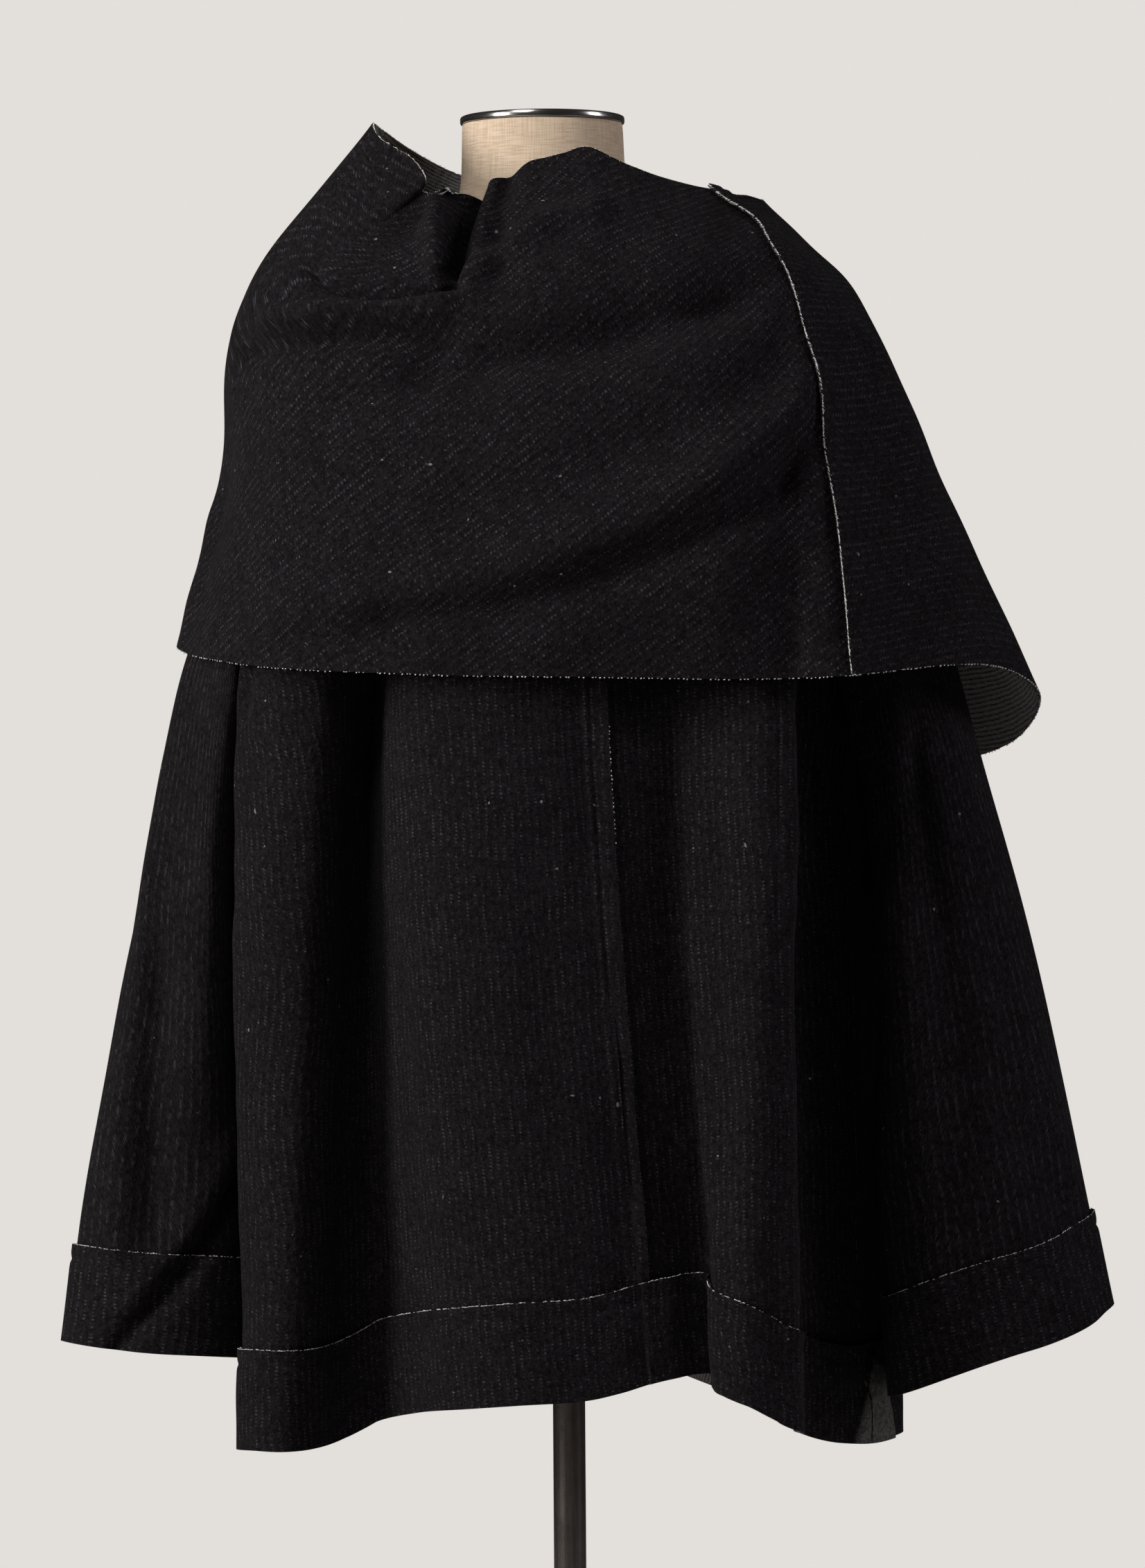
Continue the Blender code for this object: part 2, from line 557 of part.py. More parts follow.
# ---------------------------------------------------------------- dress form and stand
def form_torso(linen):
    rows = np.array(FORM_SECTIONS, float)
    around, rings = 36, 22
    heights = curve(np.arange(len(rows)), rows[:, :1],
                    np.linspace(0, len(rows) - 1, rings))[:, 0]
    shape = bmesh.new()
    loops = []
    for height, size in zip(heights, curve(rows[:, 0], rows[:, 1:], heights)):
        half_width, front, back = size
        loop = []
        for k in range(around):
            turn = 2 * math.pi * k / around
            reach = back if math.cos(turn) > 0 else front
            middle = (back - front) / 2
            depth = (back + front) / 2
            y = middle + depth * math.cos(turn) if height > 1400 else reach * math.cos(turn)
            loop.append(shape.verts.new((half_width * math.sin(turn) / 1000, y / 1000,
                                         height / 1000)))
        loops.append(loop)
    for low, high in zip(loops, loops[1:]):
        for k in range(around):
            n = (k + 1) % around
            shape.faces.new((low[n], low[k], high[k], high[n]))
    shape.faces.new(loops[0])
    shape.faces.new(loops[-1][::-1])
    bmesh.ops.recalc_face_normals(shape, faces=shape.faces[:])
    mesh = bpy.data.meshes.new("form_torso")
    shape.to_mesh(mesh)
    shape.free()
    return finish("form_torso", mesh, linen)


def build():
    for item in list(bpy.data.objects):
        bpy.data.objects.remove(item, do_unlink=True)
    wool = material("black_wool", (0.008, 0.008, 0.008), 0.95)
    linen = material("linen", (0.46, 0.40, 0.32), 0.9)
    chrome = material("chrome", (0.75, 0.75, 0.75), 0.15, 1.0)
    steel = material("dark_steel", (0.05, 0.045, 0.04), 0.3, 1.0)

    panel("back_left", 0.0, LEFT_SEAM, 28, wool, armhole_end=True, lap=BACK_LAP)
    panel("back_right", RIGHT_SEAM, 360.0, 24, wool, armhole_start=True)
    panel("front", LEFT_SEAM, RIGHT_SEAM, 30, wool, armhole_start=True, armhole_end=True)
    hem_band("hem_band_back_left", 0.0, LEFT_SEAM, 26, wool, fine_start=True)
    hem_band("hem_band_back_right", RIGHT_SEAM, 360.0, 24, wool)
    hem_band("hem_band_front", LEFT_SEAM, RIGHT_SEAM, 30, wool)
    for side in SLEEVES:
        sleeve("sleeve_" + side, side, 20, 9, wool)
        cuff("cuff_" + side, side, 20, wool)
    collar_piece("collar_left", COLLAR_SEAM - 360.0, COLLAR_FRONT_SEAM, 28, 11, wool)
    collar_piece("collar_right", COLLAR_FRONT_SEAM, COLLAR_SEAM, 30, 11, wool, lap=COLLAR_LAP)

    form_torso(linen)
    turned("neck_cap", ((CAP_RADIUS - 0.001, NECK_TOP + 0.0003),
                        (CAP_RADIUS, NECK_TOP + 0.0013),
                        (CAP_RADIUS, NECK_TOP + CAP_THICK - 0.001),
                        (CAP_RADIUS - 0.001, NECK_TOP + CAP_THICK)), chrome,
           (0.0, NECK_LEAN))
    turned("stand_pole", ((POLE_RADIUS, BASE_THICK + 0.0003),
                          (POLE_RADIUS, FORM_BOTTOM - 0.0003)), steel, segments=24)
    turned("stand_base", ((BASE_RADIUS, 0.0), (BASE_RADIUS, BASE_THICK - BASE_EDGE),
                          (BASE_RADIUS - BASE_EDGE, BASE_THICK)), steel, segments=64)


build()
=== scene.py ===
import math

import bmesh
import bpy
import numpy as np
from mathutils import Matrix, Vector


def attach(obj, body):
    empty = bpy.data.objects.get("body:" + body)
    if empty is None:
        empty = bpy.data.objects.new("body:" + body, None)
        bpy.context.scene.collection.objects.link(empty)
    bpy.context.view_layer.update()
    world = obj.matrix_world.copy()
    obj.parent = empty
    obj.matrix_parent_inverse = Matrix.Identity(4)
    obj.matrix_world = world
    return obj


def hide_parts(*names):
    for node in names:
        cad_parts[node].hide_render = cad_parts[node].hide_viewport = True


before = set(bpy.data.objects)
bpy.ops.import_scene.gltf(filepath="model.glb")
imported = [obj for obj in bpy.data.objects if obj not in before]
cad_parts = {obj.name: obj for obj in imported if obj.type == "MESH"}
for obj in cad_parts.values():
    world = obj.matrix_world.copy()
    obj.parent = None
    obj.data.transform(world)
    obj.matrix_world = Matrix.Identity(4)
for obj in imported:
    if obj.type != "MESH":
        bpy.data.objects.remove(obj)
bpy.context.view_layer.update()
print("frame loaded")

# Metres and +Z up. The wearer faces -Y, so the garment's back is at +Y and the wearer's left at +X.
# Every sewn piece is a smooth sheet worked out from short tables, with creases laid over it.

# ---- what the whole garment shares
cloth = {"wall": 0.0025, "gap": 0.0004, "seamGap": 0.0003, "ribPitch": 0.0053}
layer = cloth["wall"] + cloth["gap"]
band = {"height": 0.067, "lap": 0.010, "stitch": 0.010, "groove": 0.0011, "grooveWidth": 0.0022,
        "air": 0.0006, "endGap": 0.1, "rows": 26}
laps = {"back": 0.0085, "collar": 0.012, "rise": 0.010, "air": 0.0004, "collarAir": 0.0012,
        "over": 1.8}
armReach = 200.0    # mm, turns a direction round the body into a distance
broadStep, fineStep = (1.0, 0.004), (0.3, 0.002)    # degrees and metres between points of a normal

# direction round the body, across/back below the collar, across/back/height at the hem (degrees, mm)
bodyFolds = np.array([
    (0, 20, 126, -12, 131.5, 643.5), (10, 48.5, 125, 27, 136, 635),
    (22, 86.5, 118, 72.5, 129.5, 632.5), (34, 127, 94.5, 104.5, 97.5, 628),
    (44, 137, 66, 119.5, 51.5, 622), (52, 137.5, 25, 140.5, 21, 614),
    (59, 153.5, 36.5, 169, 23.5, 604), (66, 171.5, 54.5, 194, 42, 600.5),
    (73, 192, 60.5, 215, 49.5, 599.5), (80, 216, 46, 226.5, 38.5, 599.5),
    (88, 229, 11, 229, 14, 598), (95, 207, -8, 213, -9, 597), (102, 198, -30, 200, -36, 597),
    (116, 186, -66, 194, -74, 599), (130, 170, -102, 186, -120, 603),
    (143, 132, -108, 136, -110, 618), (156, 92, -148, 100, -176, 630),
    (168, 46, -136, 52, -142, 640), (180, 0, -150, 4, -165, 642), (192, -44, -138, -46, -146, 641),
    (205, -90, -150, -96, -178, 632), (218, -130, -108, -134, -110, 618),
    (231, -168, -105, -184, -122, 603), (242, -196, -84, -200, -84, 598),
    (251, -222, -64, -216, -60, 595), (258, -233, -43, -232, -38, 592),
    (265, -225, -21, -238, -8, 591), (272, -205, 2, -221, 13, 589),
    (278, -190, 30, -196, 38, 588.5), (283, -171, 42, -168, 55.5, 592),
    (291, -139.5, 57, -132.5, 76, 602.5), (297, -116, 141, -112.5, 148.5, 609),
    (303, -101, 151.5, -93.5, 159.5, 618.5), (313, -84, 149, -74.5, 160, 629.5),
    (322, -64, 133, -66, 150.5, 635.5), (330, -48, 123.5, -63.5, 140, 640),
    (337, -35.5, 120.5, -63, 129.5, 648), (344, -20.5, 121, -49, 128, 649),
    (352, -2, 123.5, -31.5, 129, 647)], float)
body = {
    "midHeight": 1108.0,
    "shoulderRing": (174, 72, 90, 1366), "armholeRing": (195, 112, 130, 1250),
    "down": (0.0, 0.085, 0.215, 0.360, 0.860),
    "neckSeam": 0.0355, "neckGap": 0.0008,
    "peak": (76.0, 34.0, 0.008), "lapRoom": 14.0,
    "leftSeam": 110.0, "rightSeam": 278.0, "armholeTop": 0.090, "armholeFoot": 0.335,
    "armholeHalf": 12.5, "armholeRound": 0.7,
}
# direction, then across/back/height at the top edge, on the shoulder, below it and at the foot
collarRows = np.array([
    (0, -4, 51, 1468, 0, 125, 1367, 0, 164, 1228, -4, 151, 1111),
    (20, 16, 47, 1463, 48, 113, 1367, 58, 146, 1228, 59, 140, 1112),
    (40, 36, 41, 1459, 86, 97, 1368, 105, 122, 1229, 110.5, 122, 1113),
    (58, 62, 36, 1450, 122, 76, 1368, 148, 97, 1230, 154, 100.5, 1115),
    (72, 88, 33, 1434, 160, 54, 1366, 185, 70, 1231, 192, 77, 1117),
    (79, 107, 31.5, 1439.5, 181, 38, 1365, 201, 55, 1231.5, 213, 58, 1119),
    (84, 105.5, 36, 1448, 194, 20, 1364, 211, 40, 1232, 227, 40, 1121),
    (90, 109, 17, 1462, 203, 1, 1364.5, 218, 17, 1233, 238, 14, 1124),
    (96, 123, -5, 1476, 208, -20, 1365, 222, -7, 1234, 247, -12, 1127),
    (108, 123, -29, 1490, 211, -50, 1367, 220, -47, 1235, 249, -50, 1131),
    (125, 105, -62, 1488, 190, -95, 1365, 210, -105, 1232, 228, -114.5, 1138),
    (142, 78, -95, 1480, 140, -128, 1362, 158, -150, 1222, 172, -165, 1100),
    (160, 40, -122, 1468, 70, -146, 1358, 80, -172, 1212, 88, -190, 1075),
    (180, -5, -130, 1458, -5, -150, 1355, -5, -178, 1205, -5, -198, 1060),
    (200, -50, -122, 1450, -75, -142, 1356, -88, -172, 1205, -100, -192, 1052),
    (220, -90, -98, 1444, -130, -120, 1360, -165, -146, 1210, -190, -168, 1050),
    (240, -118, -60, 1440, -172, -85, 1364, -222, -100, 1215, -262, -118, 1052),
    (257, -130, -15, 1438, -195, -35, 1366, -250, -40, 1222, -305, -60, 1056),
    (270, -133, 15, 1437, -200, 5, 1366, -264, 5, 1230, -325, -10, 1066),
    (280, -131, 35, 1437, -195, 35, 1366, -260, 45, 1232, -324, 45, 1085),
    (288, -127, 46, 1436, -192, 62, 1367, -248, 80, 1233, -308, 92, 1102),
    (295, -114, 54, 1438, -175, 84, 1368, -232, 106, 1232, -275, 120, 1115),
    (302, -104, 60, 1438, -156, 102, 1370, -192, 136, 1230, -220, 146, 1118),
    (309, -93, 64, 1439, -132, 116, 1372, -143, 162, 1229, -152, 178, 1112),
    (325, -62, 66, 1445, -92, 131, 1368, -100, 171, 1228, -103.5, 167.5, 1110),
    (342, -32, 60, 1455, -45, 136, 1367, -48, 176, 1228, -55, 162, 1110)], float)
collar = {"down": (0.0, 0.125, 0.270, 0.390), "seam": 309.0, "frontSeam": 125.0, "calm": 8.0,
          "stitch": 0.012, "groove": 0.0019, "grooveWidth": 0.0034, "bow": (5.0, 0.045, 0.030),
          "reach": 3.5, "uneven": (21, 60.0, 0.0007), "lapYarn": 0.75}
# creases: from direction, from mm down, to direction, to mm down, bow, half width, height (mm)
collarFolds = [
    (61, 12, 51, 98, 0, 12, -25),        # deep pocket beside the neck
    (47, 14, 38, 82, 0, 26, -11),        # its slope towards the centre back
    (73, 0, 56, 94, 0, 9, 15),           # edge of the standing funnel
    (84, 97, 48, 118, -22, 5.5, -8),     # crease that runs round the foot of the funnel
    (86, 136, 51, 137, -4, 8, 11),       # roll below it
    (46, 108, 4, 58, 10, 13, 7),         # low ridge towards the centre back
    (92, 160, 50, 160, 0, 12, -11),      # valley below the roll
    (50, 182, -26, 134, -6, 21, -20),    # soft valley across the back
    (66, 200, 44, 205, 0, 12, -3),       # dent at its left end
    (-44, 160, 40, 268, 20, 22, -7),     # hollow over the large drape
    (-46, 196, 74, 345, 32, 17, 11),     # large diagonal drape
    (-46, 238, 54, 348, 24, 17, -8),     # trough under the drape
    (-38, 268, -37, 390, 0, 18, -5),     # hollow left of the lapped seam
    (299, 170, 300.5, 385, 0, 14, 11),   # ridge right of the lapped seam
    (266, 150, 206, 330, -20, 26, 12),   # drape across the front
    (262, 205, 204, 372, -20, 20, -10),  # trough under it
    (200, 112, 152, 190, 0, 28, -8),     # hollow at the front of the neck
    (117, 290, 113, 385, 0, 18, 7),      # ridge at the plain front seam
]
sleeves = {
    "left": {"seam": 110.0, "side": 1, "centre": (279, -36), "half": (60, 42),
             "heights": (655, 662, 669, 660), "innerBow": (13, 11, 4), "outerBow": (24, 27, 20),
             "waves": 9, "flat": (0.36, 0.62), "area": 0.15, "cuff": (0.36, 0.067)},
    "right": {"seam": 278.0, "side": -1, "centre": (-290, 65), "half": (76, 50),
              "heights": (623, 655, 681, 641), "innerBow": (13, 5.5, -4),
              "outerBow": (27, 25.5, 16.5),
              "waves": 12, "flat": (0.42, 0.66), "area": 0.18, "cuff": (0.44, 0.067)},
}
# creases of the sleeves: from turn, from down, to turn, to down (shares), bow, half width, height
sleeveFolds = {
    "left": [(0.10, 0.765, 0.345, 0.995, 4, 7, -9), (0.13, 0.735, 0.31, 0.93, 4, 12, 5),
             (0.315, 0.64, 0.29, 0.86, 0, 17, -8), (0.40, 0.55, 0.37, 0.90, 0, 14, 4),
             (0.44, 0.38, 0.44, 0.44, 0, 40, 9), (0.62, 0.35, 0.70, 0.90, 0, 22, -6),
             (0.85, 0.45, 0.80, 0.95, 0, 20, 5)],
    "right": [(0.235, 0.34, 0.225, 0.72, 0, 16, -7), (0.15, 0.40, 0.13, 0.90, 0, 14, 5),
              (0.30, 0.74, 0.40, 0.98, 0, 16, -5), (0.36, 0.40, 0.38, 0.80, 0, 18, 4),
              (0.62, 0.40, 0.68, 0.92, 0, 24, -6), (0.86, 0.50, 0.82, 0.95, 0, 20, 5)],
}
bodyCreases = [(84.0, 325, 85.5, 376, 0, 5, -5)]     # pinch where the left armhole ends
sleeveSpan = (380.0, 560.0)     # mm round and down a sleeve, for its creases
sleeveSeat = {"margin": 1.5, "over": 0.004, "air": 0.0009, "under": 1.3}
sleeveCloth = {"columns": 120, "rows": 160, "cuffColumns": 130, "ribs": 0.72, "radius": 60,
               "length": 384, "wave": (110.0, 0.0012), "from": 0.1, "over": 0.2}
flatSide = {"height": 27.0, "turn": (0.05, 0.06), "turnEnd": (0.36, 0.18), "down": 0.12,
            "downEnd": (0.90, 0.50), "way": (0.29, 0.957, 0.0)}


# ---- curves and surfaces
def slopesAt(knots, rows):
    shape = (-1,) + (1,) * (rows.ndim - 1)
    lean = np.empty_like(rows)
    lean[1:-1] = (rows[2:] - rows[:-2]) / (knots[2:] - knots[:-2]).reshape(shape)
    lean[0] = (rows[1] - rows[0]) / (knots[1] - knots[0])
    lean[-1] = (rows[-1] - rows[-2]) / (knots[-1] - knots[-2])
    return lean


def hermite(f, width, start, end, leanStart, leanEnd):
    return ((2 * f**3 - 3 * f**2 + 1) * start + (f**3 - 2 * f**2 + f) * width * leanStart
            + (3 * f**2 - 2 * f**3) * end + (f**3 - f**2) * width * leanEnd)


def curveAt(knots, rows, at, period=None):
    knots, rows, at = (np.asarray(x, float) for x in (knots, rows, at))
    if period:
        knots = np.concatenate(([knots[-1] - period], knots, knots[:2] + period))
        rows = np.concatenate((rows[-1:], rows, rows[:2]))
        at = knots[1] + np.mod(at - knots[1], period)
    lean = slopesAt(knots, rows)
    first = np.clip(np.searchsorted(knots, at, side="right") - 1, 0, len(knots) - 2)
    width = (knots[first + 1] - knots[first])[..., None]
    f = (at - knots[first])[..., None] / width
    return hermite(f, width, rows[first], rows[first + 1], lean[first], lean[first + 1])


def betweenRings(rings, downs, down):
    down, downs, rings = np.asarray(down, float), np.asarray(downs, float), np.stack(rings)
    lean = slopesAt(downs, rings)
    first = np.clip(np.searchsorted(downs, down, side="right") - 1, 0, len(downs) - 2)
    pick, after = ((k,) + tuple(np.indices(down.shape)) for k in (first, first + 1))
    width = (downs[first + 1] - downs[first])[..., None]
    f = (down - downs[first])[..., None] / width
    return hermite(f, width, rings[pick], rings[after], lean[pick], lean[after])


def smoothStep(value):
    value = np.clip(value, 0.0, 1.0)
    return value * value * (3 - 2 * value)


def hump(value):
    return np.exp(-np.square(value))


def outwardAt(surface, u, v, stepU, stepV):
    along = surface(u + stepU, v) - surface(u - stepU, v)
    down = surface(u, v + stepV) - surface(u, v - stepV)
    normal = np.cross(along, down)
    return normal / np.linalg.norm(normal, axis=-1, keepdims=True)


def wrapped(direction, centre):
    return np.mod(direction - centre + 180.0, 360.0) - 180.0


def creaseHeight(creases, x, y):
    # x and y in mm on the cloth; a crease is a soft line with a bow
    height = np.zeros(np.broadcast(x, y).shape)
    for fromX, fromY, toX, toY, bow, halfWidth, rise in creases:
        run, drop = toX - fromX, toY - fromY
        length = math.hypot(run, drop)
        along = ((x - fromX) * run + (y - fromY) * drop) / length**2
        inside = np.clip(along, 0.0, 1.0)
        aside = ((y - fromY) * run - (x - fromX) * drop) / length - bow * 4 * inside * (1 - inside)
        beyond = (along - inside) * length
        height = height + rise * np.exp(-(aside / halfWidth)**2 - (beyond / (1.8 * halfWidth))**2)
    return height / 1000


def roundCreases(creases, direction, down):
    height = np.zeros(np.broadcast(direction, down).shape)
    arm = math.pi / 180 * armReach
    for fromDir, fromDown, toDir, toDown, bow, halfWidth, rise in creases:
        line = [(0, 0, (toDir - fromDir) * arm, toDown - fromDown, bow, halfWidth, rise)]
        height = height + creaseHeight(line, wrapped(direction, fromDir) * arm,
                                       down * 1000 - fromDown)
    return height


def softWaves(x, y, seed, wave, height):
    # gentle unevenness: a few crossing waves of about one length, the same on every run
    rng = np.random.default_rng(seed)
    total = np.zeros(np.broadcast(x, y).shape)
    for k in range(7):
        angle, phase = rng.uniform(0, math.pi), rng.uniform(0, 2 * math.pi)
        pitch = wave * rng.uniform(0.7, 1.5) / (2 * math.pi)
        total = total + np.sin((x * math.cos(angle) + y * math.sin(angle)) / pitch + phase)
    return total * height / 2.6


def collarBase(direction, down):
    rings = [curveAt(collarRows[:, 0], collarRows[:, 1 + 3 * k:4 + 3 * k], direction, 360.0)
             for k in range(4)]
    return betweenRings(rings, collar["down"], down) / 1000


def collarSurface(direction, down):
    normal = outwardAt(collarBase, direction, down, *broadStep)
    calm = 1 - hump(wrapped(direction, collar["seam"]) / collar["calm"])
    height = calm * roundCreases(collarFolds, direction, down)
    return collarBase(direction, down) + normal * height[..., None]


def plainRing(spec, direction):
    halfWidth, back, front, height = spec
    turn = np.radians(direction)
    reach = np.where(np.cos(turn) > 0, back, front)
    radius = 1 / np.sqrt((np.sin(turn) / halfWidth)**2 + (np.cos(turn) / reach)**2)
    return np.stack((radius * np.sin(turn), radius * np.cos(turn),
                     np.full_like(radius, height)), -1)


necklineKnots = np.arange(0.0, 360.0, 1.0)


def necklinePoints():
    seamDown = np.full_like(necklineKnots, body["neckSeam"])
    inwards = -outwardAt(collarSurface, necklineKnots, seamDown, *broadStep)
    peakAt, peakWidth, peakAir = body["peak"]
    inset = (cloth["wall"] + body["neckGap"] + peakAir * hump((necklineKnots - peakAt) / peakWidth)
             + layer * hump(wrapped(necklineKnots, 0.0) / body["lapRoom"]))
    return (collarSurface(necklineKnots, seamDown) + inwards * inset[..., None]) * 1000


neckline = necklinePoints()
bodyMiddle = np.column_stack((bodyFolds[:, 1:3], np.full(len(bodyFolds), body["midHeight"])))


def bodySurface(direction, down):
    direction, down = np.broadcast_arrays(np.asarray(direction, float), np.asarray(down, float))
    rings = [curveAt(necklineKnots, neckline, direction, 360.0),
             plainRing(body["shoulderRing"], direction), plainRing(body["armholeRing"], direction),
             curveAt(bodyFolds[:, 0], bodyMiddle, direction, 360.0),
             curveAt(bodyFolds[:, 0], bodyFolds[:, 3:6], direction, 360.0)]
    return betweenRings(rings, body["down"], down) / 1000


def armholeHalf(down):
    part = (down - body["armholeTop"]) / (body["armholeFoot"] - body["armholeTop"])
    return body["armholeHalf"] * np.sin(math.pi * np.clip(part, 0.0, 1.0))**body["armholeRound"]


def sleeveSurface(name):
    # turn 0 is the inner side, 0.25 the back, 0.5 the outer side; down is 0 at the armhole
    spec = sleeves[name]
    side = spec["side"]

    def surface(turn, down):
        turn, down = np.broadcast_arrays(np.asarray(turn, float), np.asarray(down, float))
        angle = 2 * math.pi * turn
        rise = (1 - np.cos(angle)) / 2
        reach = body["armholeHalf"] * np.abs(np.sin(math.pi * rise))**body["armholeRound"]
        reach = reach + sleeveSeat["margin"]
        back = -side * np.sign(np.sin(angle)) * reach * smoothStep(np.abs(np.sin(angle)) * 3)
        top, foot, over = body["armholeTop"], body["armholeFoot"], sleeveSeat["over"]
        height = foot + over - (foot - top + 2 * over) * rise
        start = bodySurface(spec["seam"] + back, height)
        normal = outwardAt(bodySurface, spec["seam"] + back, height, *broadStep)
        seat = layer + sleeveSeat["air"] + sleeveSeat["under"] * cloth["wall"] * (1 - rise)
        start = start + normal * seat[..., None]
        across, depth = spec["centre"]
        level = curveAt((0, 0.25, 0.5, 0.75), np.array(spec["heights"], float)[:, None], turn,
                        1.0)[..., 0]
        end = np.stack((across - side * spec["half"][0] * np.cos(angle),
                        depth + spec["half"][1] * np.sin(angle), level), -1) / 1000
        bows = [(0, 0), *zip(spec["innerBow"], spec["outerBow"]), (0, 0)]
        bow = curveAt((0, 0.25, 0.5, 0.75, 1), bows, down)
        point = start + (end - start) * down[..., None]
        point[..., 0] += side / 1000 * (bow[..., 0] * (1 - rise) + bow[..., 1] * rise)
        return point
    return surface


# ---- materials: a socket in a small class, so that shader maths reads as an expression
class Wire:
    def __init__(self, nodes, socket):
        self.nodes, self.socket = nodes, socket

    def maths(self, operation, *values, clamp=False):
        return self.nodes.add("ShaderNodeMath", {"operation": operation, "use_clamp": clamp},
                              dict(enumerate(values)))

    def __add__(self, other): return self.maths("ADD", self, other)
    def __sub__(self, other): return self.maths("SUBTRACT", self, other)
    def __mul__(self, other): return self.maths("MULTIPLY", self, other)
    def __truediv__(self, other): return self.maths("DIVIDE", self, other)
    def __pow__(self, other): return self.maths("POWER", self, other)

    def clamped(self): return self.maths("ADD", self, 0.0, clamp=True)
    def floor(self): return self.maths("FLOOR", self)
    def wave(self): return self.maths("COSINE", self * (2 * math.pi)) * 0.5 + 0.5

    def above(self, low, high):
        return self.nodes.add("ShaderNodeMapRange", {"interpolation_type": "SMOOTHSTEP"},
                              {"Value": self, "From Min": low, "From Max": high})


class Nodes:
    def __init__(self, name):
        self.material = bpy.data.materials.new(name)
        self.material.use_nodes = True
        self.tree = self.material.node_tree
        self.shader = self.tree.nodes["Principled BSDF"]

    def add(self, kind, settings=None, inputs=None, output=0):
        node = self.tree.nodes.new(kind)
        for key, value in (settings or {}).items():
            setattr(node, key, value)
        for key, value in (inputs or {}).items():
            self.feed(node.inputs[key], value)
        return Wire(self, node.outputs[output])

    def feed(self, socket, value):
        if isinstance(value, Wire):
            self.tree.links.new(value.socket, socket)
        else:
            socket.default_value = value

    def set(self, **values):
        for key, value in values.items():
            self.feed(self.shader.inputs[key.replace("_", " ")], value)

    def objectPlace(self):
        return self.add("ShaderNodeTexCoord", output="Object")

    def uv(self):
        return self.add("ShaderNodeUVMap", {"uv_map": "grain"})

    def split(self, vector):
        node = self.add("ShaderNodeSeparateXYZ", inputs={0: vector}).socket.node
        return [Wire(self, node.outputs[k]) for k in range(3)]

    def join(self, x, y, z):
        return self.add("ShaderNodeCombineXYZ", inputs={0: x, 1: y, 2: z})

    def scaled(self, vector, scale):
        return self.add("ShaderNodeVectorMath", {"operation": "MULTIPLY"}, {0: vector, 1: scale})

    def noise(self, vector, scale, detail=2.0, roughness=0.5):
        return self.add("ShaderNodeTexNoise", {},
                        {"Vector": vector, "Scale": scale, "Detail": detail,
                         "Roughness": roughness})

    def mix(self, mask, low, high, kind="MIX"):
        node = self.add("ShaderNodeMix", {"data_type": "RGBA", "blend_type": kind}).socket.node
        for key, value in (("Factor_Float", mask), ("A_Color", low), ("B_Color", high)):
            self.feed(next(s for s in node.inputs if s.identifier == key), value)
        return Wire(self, next(s for s in node.outputs if s.identifier == "Result_Color"))

    def bump(self, height, strength, distance):
        return self.add("ShaderNodeBump", {},
                        {"Height": height, "Strength": strength, "Distance": distance})


def grey(level, tint=(1.0, 1.0, 1.0)):
    return (level * tint[0], level * tint[1], level * tint[2], 1.0)


# shades of the wool, then its rib pitch, its stitch, how far a rib strays and how deep it is (m)
wool = {"tint": (1.07, 0.91, 1.08), "ground": 0.0022, "nap": 0.0092, "rib": 0.056, "lint": 0.16,
        "patches": 1.22, "opened": (0.04, 0.12), "wrongSide": 0.17, "pitch": cloth["ribPitch"],
        "stitch": 0.0024, "stray": 0.0026, "depth": 0.0011}


def woolFace(name, ribStrength, wrongSide=False):
    n = Nodes(name)
    place = n.objectPlace()
    u, v, _ = n.split(n.uv())
    wander = n.noise(place, 30.0, 2.0) - 0.5
    pitch = wool["stitch"] if wrongSide else wool["pitch"]
    ribs = (u + wander * wool["stray"]) / pitch
    crest = ribs.wave()
    shift = n.add("ShaderNodeTexWhiteNoise", {"noise_dimensions": "1D"},
                  {"W": (ribs + 0.5).floor()})
    dashes = (v / wool["stitch"] + shift * 4.0 + wander * 1.5).wave()
    nap = n.noise(n.scaled(n.join(u, v, 0.0), (1.0, 0.6, 1.0)), 620.0, 3.0, 0.7)
    fuzz = n.noise(place, 700.0, 3.0, 0.7)
    clumps = n.noise(place, 210.0, 3.0, 0.65)
    patches = n.noise(place, 26.0, 2.0)
    mottle = (nap * 0.40 + fuzz * 0.32 + clumps * 0.28).above(0.41, 0.61)
    lost = n.noise(place, 120.0, 3.0, 0.7).above(0.40, 0.60)
    dots = (crest ** 4.0) * (dashes ** 1.5) * lost * nap.above(0.40, 0.60)
    tint = wool["tint"]
    if wrongSide:
        ground = n.mix(crest ** 2.0, grey(wool["wrongSide"], (1.06, 1.0, 0.98)),
                       grey(wool["ground"] * 4, tint))
        ground = n.mix(mottle * 0.5, ground, grey(wool["wrongSide"] * 1.5))
    else:
        ground = n.mix(mottle, grey(wool["ground"], tint), grey(wool["nap"], tint))
        ground = n.mix((dots * ribStrength).clamped(), ground, grey(wool["rib"], tint))
        lint = n.noise(place, 240.0, 0.0).above(0.885, 0.90)
        ground = n.mix(lint * 0.7, ground, grey(wool["lint"]))
        ground = n.mix(patches.above(0.3, 0.7), ground, grey(wool["patches"]), "MULTIPLY")
        opened = n.add("ShaderNodeAttribute", {"attribute_name": "opened"}, output=2)
        dark, pale = wool["opened"]
        ground = n.mix(opened.above(0.3, 0.8) * 0.8, ground,
                       n.mix(mottle, grey(dark), grey(pale, (1.0, 1.0, 0.92))))
    height = crest * (0.16 * ribStrength) + fuzz * 0.4 + clumps * 0.8
    n.set(Base_Color=ground, Roughness=0.95, Specular_IOR_Level=0.06, Sheen_Weight=0.01,
          Sheen_Roughness=0.5, Normal=n.bump(height, 1.0, wool["depth"]))
    return n


